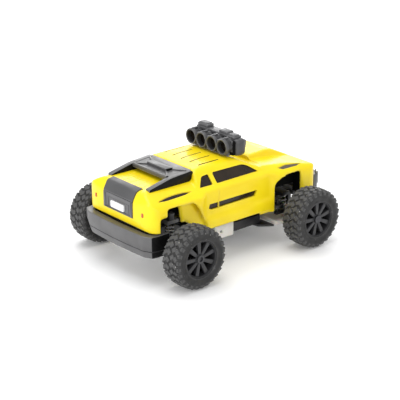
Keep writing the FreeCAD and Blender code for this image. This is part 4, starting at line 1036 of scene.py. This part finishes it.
@dataclass
class Bumpers(Assembly):
    """Deep rear bumper tray and the front guard."""

    seam: float = 11.3
    seam_half: float = 0.16
    seam_depth: float = 0.012
    top: float = 16.45
    waist: float = 13.6
    bottom: float = 8.9
    fore: float = -28.7
    taper_along: float = 0.13
    taper_across: float = 0.06

    def tray(self) -> BMesh:
        """Shape the rear tray: tapered below, with a seam line and a soft top rim.

        Returns:
            The tray.
        """
        outer = [(-37.5, 0.0, 0.0), (-37.3, 7.0, 1.0), (-36.9, 14.2, 0.5), (-35.5, 17.1, 0.5),
                 (-33.5, 17.5, 0.5), (-28.7, 17.5, 0.2)]
        inner = [(-28.7, 16.2, 0.2), (-31.5, 16.1, 0.5), (-33.2, 15.5, 0.5), (-34.6, 13.6, 0.6),
                 (-35.1, 0.0, 0.0)]
        bm = prism(both_plan(outer + inner), Axis.Z, (self.bottom, self.top))
        soften(bm, 0.22, 2, 60)
        for height in (self.seam - self.seam_half, self.seam, self.seam + self.seam_half,
                       self.waist):
            bmesh.ops.bisect_plane(bm, geom=list(bm.verts) + list(bm.edges) + list(bm.faces),
                                   plane_co=(0, 0, height), plane_no=(0, 0, 1), dist=0.001)
        for vert in bm.verts:
            drop = max(0.0, self.waist - vert.co.z) / (self.waist - self.bottom)
            pinch = self.seam_depth if abs(vert.co.z - self.seam) < 0.02 else 0.0
            vert.co.x -= (vert.co.x - self.fore) * (self.taper_along * drop + pinch * 2)
            vert.co.y *= 1 - self.taper_across * drop - pinch
        return bm

    def nose_bar(self) -> BMesh:
        """Shape the front beam with the framed guard that wraps the nose above it.

        Returns:
            The beam, guard and posts.
        """
        beam = prism(both_plan([(40.5, 0, 0), (40.2, 7, 1), (38.8, 12.6, 1), (36.6, 15.2, 0.8),
                                (34.3, 15.8, 0.2), (34.3, 14.4, 0.2), (35.3, 14.0, 0.5),
                                (37.0, 11.8, 0.5), (38.3, 6.5, 0.5), (38.5, 0, 0)]),
                     Axis.Z, (8.6, 13.9))
        guard = prism(both_plan([(40.3, 0, 0), (40.1, 8, 1), (39.4, 12.8, 0.8),
                                 (37.9, 14.6, 0.6), (35.6, 15.1, 0.2), (35.6, 14.2, 0.2),
                                 (37.1, 13.6, 0.4), (38.1, 12.0, 0.5), (38.8, 7.5, 0.8),
                                 (39.0, 0, 0)]), Axis.Z, (14.8, 19.4))
        window = slab((35, 42), (-12.3, 12.3), (16.0, 18.2), 0.6, 3)
        post = slab((38.9, 39.9), (8.2, 9.8), (13.4, 15.6), 0.15, 2)
        foot = slab((36.2, 38.9), (-4.8, 4.8), (9.2, 11.2), 0.2, 2)
        guard = soften(merged(guard, Merge.CUT, window), 0.22, 2, 50)
        spike = rod(Axis.Z, 0.3, (18.8, 20.8), (37.9, 13.6, 0), 12, 0.08, 0.16)
        return gathered([soften(beam, 0.35, 3, 50), guard, post, flipped(post), foot, spike,
                         flipped(spike)])

    def build(self) -> None:
        """Build both bumpers and the grille."""
        # The tray's rear face takes a lighter copy of the charcoal as a painted highlight, and its
        # end faces a near-black copy as painted shade.
        ends = ("deep_side", lambda face: abs(face.normal.y) > 0.8)
        self.piece("rear_tray", self.tray(), "charcoal_plastic", "chassis", ["rear_bumper"], 20,
                   look="tray_face", second=ends)
        self.piece("nose_bar", self.nose_bar(), "charcoal_plastic", "chassis", ["front_bumper"])
        lamp = rod(Axis.Z, 0.55, (15.7, 20.0), (38.45, 13.75, 0), 16, 0.2)
        self.piece("corner_lamps", pair(lamp), "lamp_lens", "chassis",
                   look="clear_lens")
        self.soft_copy("grille", "charcoal_plastic", "chassis", 0.08)


@dataclass
class Wheels(Assembly):
    """Four wheels: block-tread tyres on nine-spoke rims.

    LUGS holds the tread's row of lugs from the middle to the shoulder: how far round the tyre
    each is shifted, and then what lug() takes.
    """

    CREASE = 30
    LUGS = (
        (0.0, (0.0, 1.9), 1.6, 36, 9.2, 9.93),
        (0.3, (1.6, 3.2), 1.5, -34, 9.0, 9.79),
        (1.2, (2.85, 3.72), 1.5, 12, 8.7, 9.43),
        (1.2, (3.5, 3.96), 1.2, 0, 8.2, 8.98),
    )
    lugs: int = 26
    spokes: int = 9
    seat: float = 5.88
    rng: random.Random = field(default_factory=lambda: random.Random(5))

    def lug(self, across: Reach, width: float, skew: float, low: float, high: float) -> BMesh:
        """One tread lug at the top of the tyre.

        Args:
            across: Where it starts and ends across the tyre.
            width: Its width round the tyre.
            skew: Angle in degrees that it is turned about its own middle.
            low: Radius of its root.
            high: Radius of its crown.

        Returns:
            The lug.
        """
        bm = slab((-width / 2, width / 2), across, (low, high))
        middle = Vector((0, sum(across) / 2, 0))
        for vert in bm.verts:
            if vert.co.z > (low + high) / 2:
                vert.co.x *= 0.82
                vert.co.y += (middle.y - vert.co.y) * 0.1
        turn = Matrix.Translation(middle) @ Matrix.Rotation(math.radians(skew), 4, "Z")
        bmesh.ops.transform(bm, verts=bm.verts, matrix=turn @ Matrix.Translation(-middle))
        bmesh.ops.bevel(bm, geom=bm.edges, offset=0.12, segments=1, profile=0.5,
                        affect="EDGES", material=-1)
        return bm

    def tyre(self) -> BMesh:
        """Carcass with a bead ring, and staggered lugs that wrap each shoulder."""
        half = [(3.1, self.seat), (3.6, 5.93), (3.82, 6.1), (3.86, 6.4), (3.8, 6.6),
                (3.9, 7.2), (3.97, 7.9), (3.9, 8.45), (3.66, 8.95), (3.2, 9.27), (2.2, 9.47),
                (0.0, 9.55)]
        profile = half + [(-along, radius) for along, radius in reversed(half[:-1])]
        parts = [turned(profile, Axis.Y, 88, closed=True)]
        step = math.tau / self.lugs
        group = gathered([shifted(self.lug(*lug), x=along) for along, *lug in self.LUGS])
        for hand in (1, -1):
            for i in range(self.lugs):
                turn = Matrix.Rotation(step * (i + (0.5 if hand < 0 else 0)), 4, "Y")
                parts.append(moved(group, turn @ Matrix.Scale(hand, 4, (0, 1, 0))))
        return gathered(parts)

    def rim(self) -> BMesh:
        """Barrel, lip, tapered spokes and hub about the wheel's own axis."""
        barrel = turned([(-3.5, self.seat), (-3.5, 5.5), (3.1, 5.48), (3.3, 5.52), (3.38, 5.62),
                         (3.5, 5.68), (3.5, 5.84), (3.4, self.seat)], Axis.Y, 72, closed=True)
        parts = [barrel]
        for i in range(self.spokes):
            bar = slab((-0.72, 0.72), (1.5, 2.9), (1.2, 5.6))
            for vert in bar.verts:
                if vert.co.z < 2:
                    vert.co.x *= 0.68
                elif vert.co.y > 2:
                    vert.co.y += 0.25
                if vert.co.y < 2:
                    vert.co.x *= 0.85
            soften(bar, 0.1, 2)
            parts.append(moved(bar, Matrix.Rotation(math.tau * i / self.spokes, 4, "Y")))
        hub = turned([(-4.6, 0.78), (-4.6, 1.55), (1.2, 1.6), (2.5, 1.75), (2.85, 1.7),
                      (2.95, 1.5), (2.85, 1.35), (2.6, 1.3), (2.6, 0.78)], Axis.Y, 40,
                     closed=True)
        parts.append(hub)
        return gathered(parts)

    def dish(self) -> BMesh:
        """Near-black disc of painted shade behind the spokes."""
        return turned([(0.3, 1.58), (0.7, 3.2), (0.9, 5.5), (0.5, 5.5), (0.0, 1.58)],
                      Axis.Y, 48, closed=True)

    def build(self) -> None:
        """Build every wheel on the body that turns it."""
        tyre, rim, dish = self.tyre(), self.rim(), self.dish()
        home = self.home.inverted()
        for end in ("front", "rear"):
            for side in Side:
                low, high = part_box(f"{end}_tyre_{side.word}")
                centre = home @ ((low + high) / 2)
                body = f"front_wheel_{side.word}" if end == "front" else "rear_axle"
                facing = Matrix.Rotation(0.0 if side is Side.LEFT else math.pi, 4, "Z")
                start = Matrix.Rotation(self.rng.uniform(0, 0.1), 4, "Y")
                place = Matrix.Translation(centre) @ facing @ start
                label = f"{end}_{side.word}"
                self.piece(f"tread_tyre_{label}", moved(tyre, place), "tyre_rubber", body,
                           [f"{end}_tyre_{side.word}"], self.CREASE)
                self.piece(f"spoked_rim_{label}", moved(rim, place), "rim_plastic", body,
                           [f"{end}_rim_{side.word}"], self.CREASE)
                # Painted shade: a near-black disc behind each rim's spokes.
                self.piece(f"rim_dish_{label}", moved(dish, place), "shadow", body)


@dataclass
class Springs(Assembly):
    """Coil springs, which shorten with the truck's suspension; each is wound to its node's length.
    """

    CREASE = 40
    TURNS = 4
    TURN_STEPS = 20
    radius: float = 1.3
    wire: float = 0.26

    def coil(self, low: Vector, high: Vector) -> BMesh:
        """Wind round wire between two heights.

        Args:
            low: Lowest corner of the spring's box.
            high: Highest corner of the spring's box.

        Returns:
            The coil, closed at both ends.
        """
        bm = bmesh.new()
        ring = bmesh.ops.create_circle(bm, cap_ends=True, segments=10, radius=self.wire)["verts"]
        bmesh.ops.rotate(bm, verts=ring, cent=(0, 0, 0),
                         matrix=Matrix.Rotation(math.pi / 2, 3, "X"))
        bmesh.ops.translate(bm, verts=ring, vec=(self.radius, 0, 0))
        steps = self.TURNS * self.TURN_STEPS
        rise = (high.z - low.z - 2 * self.wire) / steps
        bmesh.ops.spin(bm, geom=list(bm.verts) + list(bm.edges) + list(bm.faces), cent=(0, 0, 0),
                       axis=(0, 0, 1), dvec=(0, 0, rise), angle=math.tau * self.TURNS,
                       steps=steps, use_merge=False, use_duplicate=False)
        bmesh.ops.recalc_face_normals(bm, faces=bm.faces)
        middle = (low + high) / 2
        bmesh.ops.translate(bm, verts=bm.verts, vec=(middle.x, middle.y, low.z + self.wire))
        return bm

    def build(self) -> None:
        """Build the rear pair and each front spring, each with a mesh of its own."""
        home = self.home.inverted()
        low, high = (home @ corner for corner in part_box("rear_springs"))
        reach = self.radius + self.wire
        left = self.coil(Vector((low.x, high.y - 2 * reach, low.z)), high)
        coils = self.piece("rear_coils", pair(left), "steel", "chassis", ["rear_springs"],
                           self.CREASE)
        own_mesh(coils)
        for side in Side:
            low, high = (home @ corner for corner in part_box(f"front_spring_{side.word}"))
            coil = self.piece(f"front_coil_{side.word}", self.coil(low, high), "steel",
                              "chassis", [f"front_spring_{side.word}"], self.CREASE)
            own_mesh(coil)


@dataclass
class RunningGear(Assembly):
    """Chassis, drive, steering and electrics.

    SOFT names each softened node's slot, body and edge width, and DRESSED each look's nodes.
    """

    SOFT = {
        "chassis_tub": ("black_plastic", "chassis", 0.2),
        "pivot_block": ("white_nylon", "chassis", 0.2),
        "shock_tower": ("charcoal_plastic", "chassis", 0.2),
        "front_bulkhead": ("black_plastic", "chassis", 0.15),
        "gearbox_lower": ("black_plastic", "drive_pod", 0.15),
        "gearbox_upper": ("black_plastic", "drive_pod", 0.15),
        "battery": ("battery_wrap", "chassis", 0.6),
        "servo_case": ("black_plastic", "chassis", 0.2),
        "front_arm_left": ("white_nylon", "front_arm_left", 0.15),
        "front_arm_right": ("white_nylon", "front_arm_right", 0.15),
        # Painted shade: the knuckles and the steering link take black over their white nylon, for
        # the dark front wheel arches.
        "knuckle_left": ("black_plastic", "knuckle_left", 0.15),
        "knuckle_right": ("black_plastic", "knuckle_right", 0.15),
        "steering_link": ("black_plastic", "steering_link", 0.12),
    }
    DRESSED = {
        "steel": ("hinge_pins", "charge_socket", "chassis_screws", "motor", "gearbox_screws",
                  "motor_shaft"),
        "dark_steel": ("axle_shaft", "kingpin_left", "kingpin_right", "stub_axle_left",
                       "stub_axle_right"),
        "black_plastic": ("switch_case", "switch_knob"),
        "white_nylon": ("servo_horn", "spur_gear"),
        "brass": ("axle_bushes", "pinion"),
        "board_green": ("receiver_board",),
        "rim_plastic": ("rear_wheel_nuts",),
    }

    def build(self) -> None:
        """Soften the mouldings that can be seen and dress the nodes that DRESSED lists."""
        for node, (slot, body, width) in self.SOFT.items():
            self.soft_copy(node, slot, body, width)
        for look, nodes in self.DRESSED.items():
            for node in nodes:
                self.paint(node, look)


@dataclass
class Studio:
    """Pale floor, soft lights and the camera. Lengths are metres, but the lens's are mm."""

    LIGHTS = (
        ("top", (-0.02, 0.08, 0.5), 0.4, 1.3),
        ("rear", (-0.5, 0.05, 0.13), 0.3, 1.0),
        ("far", (0.42, 0.48, 0.28), 0.4, 1.3),
        ("side", (0.0, -0.5, 0.3), 0.25, 0.5),
    )
    lens: float = 110.65
    sensor: float = 36.0
    place: Triple = (-0.24653, -0.28931, 0.16009)
    heading: float = -40.04
    pitch: float = 20.945
    roll: float = -0.271
    glow: float = 0.07
    daylight: float = 0.74
    floor_half: float = 3.0

    def camera(self) -> None:
        """Stand the camera behind the truck's right rear corner."""
        camera = stand("camera", bpy.data.cameras.new("camera"))
        camera.data.lens = self.lens
        camera.data.sensor_width = self.sensor
        camera.data.clip_start = 0.01
        heading, pitch, roll = (math.radians(a) for a in (self.heading, self.pitch, self.roll))
        back = Vector((math.sin(heading) * math.cos(pitch), -math.cos(heading) * math.cos(pitch),
                       math.sin(pitch)))
        right = Vector((math.cos(heading), math.sin(heading), 0))
        up = back.cross(right)
        across = right * math.cos(roll) + up * math.sin(roll)
        above = up * math.cos(roll) - right * math.sin(roll)
        turn = Matrix((across, above, back)).transposed().to_4x4()
        camera.matrix_world = Matrix.Translation(self.place) @ turn
        bpy.context.scene.camera = camera

    def floor(self) -> None:
        """Lay a plain pale floor."""
        bm = bmesh.new()
        bmesh.ops.create_grid(bm, x_segments=1, y_segments=1, size=self.floor_half)
        floor = stand_shape("floor", bm)
        bm.free()
        paint = Finish("pale_floor", (0.95, 0.95, 0.95), (0.94, 0.94, 0.94), roughness=0.6,
                       patch=40, grain=4).make()
        shader = paint.node_tree.nodes["Principled BSDF"]
        shader.inputs["Emission Color"].default_value = (1, 1, 1, 1)
        shader.inputs["Emission Strength"].default_value = self.glow
        floor.data.materials.append(paint)

    def light(self, name: str, place: Triple, size: float, power: float) -> None:
        """Hang a square soft light that faces the truck.

        Args:
            name: The light's name.
            place: Where it hangs, in metres.
            size: Its side in metres.
            power: Its power in watts.
        """
        lamp = bpy.data.lights.new(name, "AREA")
        lamp.size = size
        lamp.energy = power
        thing = stand(name, lamp)
        thing.location = place
        thing.rotation_euler = (-Vector(place)).to_track_quat("-Z", "Y").to_euler()

    def build(self) -> None:
        """Set up the whole studio."""
        self.camera()
        self.floor()
        world = bpy.data.worlds.new("studio")
        world.use_nodes = True
        sky = world.node_tree.nodes["Background"]
        sky.inputs["Color"].default_value = (1, 1, 1, 1)
        sky.inputs["Strength"].default_value = self.daylight
        bpy.context.scene.world = world
        bpy.context.scene.view_settings.view_transform = "Standard"
        for light in self.LIGHTS:
            self.light(*light)


def main() -> None:
    """Build the studio and every assembly in order."""
    logging.basicConfig(level=logging.INFO, format="%(message)s", stream=sys.stdout)
    shelf = Shelf()
    home = shift_to_row()
    Studio().build()
    for kind in (BodyShell, RearTrim, LightBar, Bumpers, Wheels, Springs, RunningGear):
        kind(shelf, home).build()


if __name__ == "__main__":
    main()
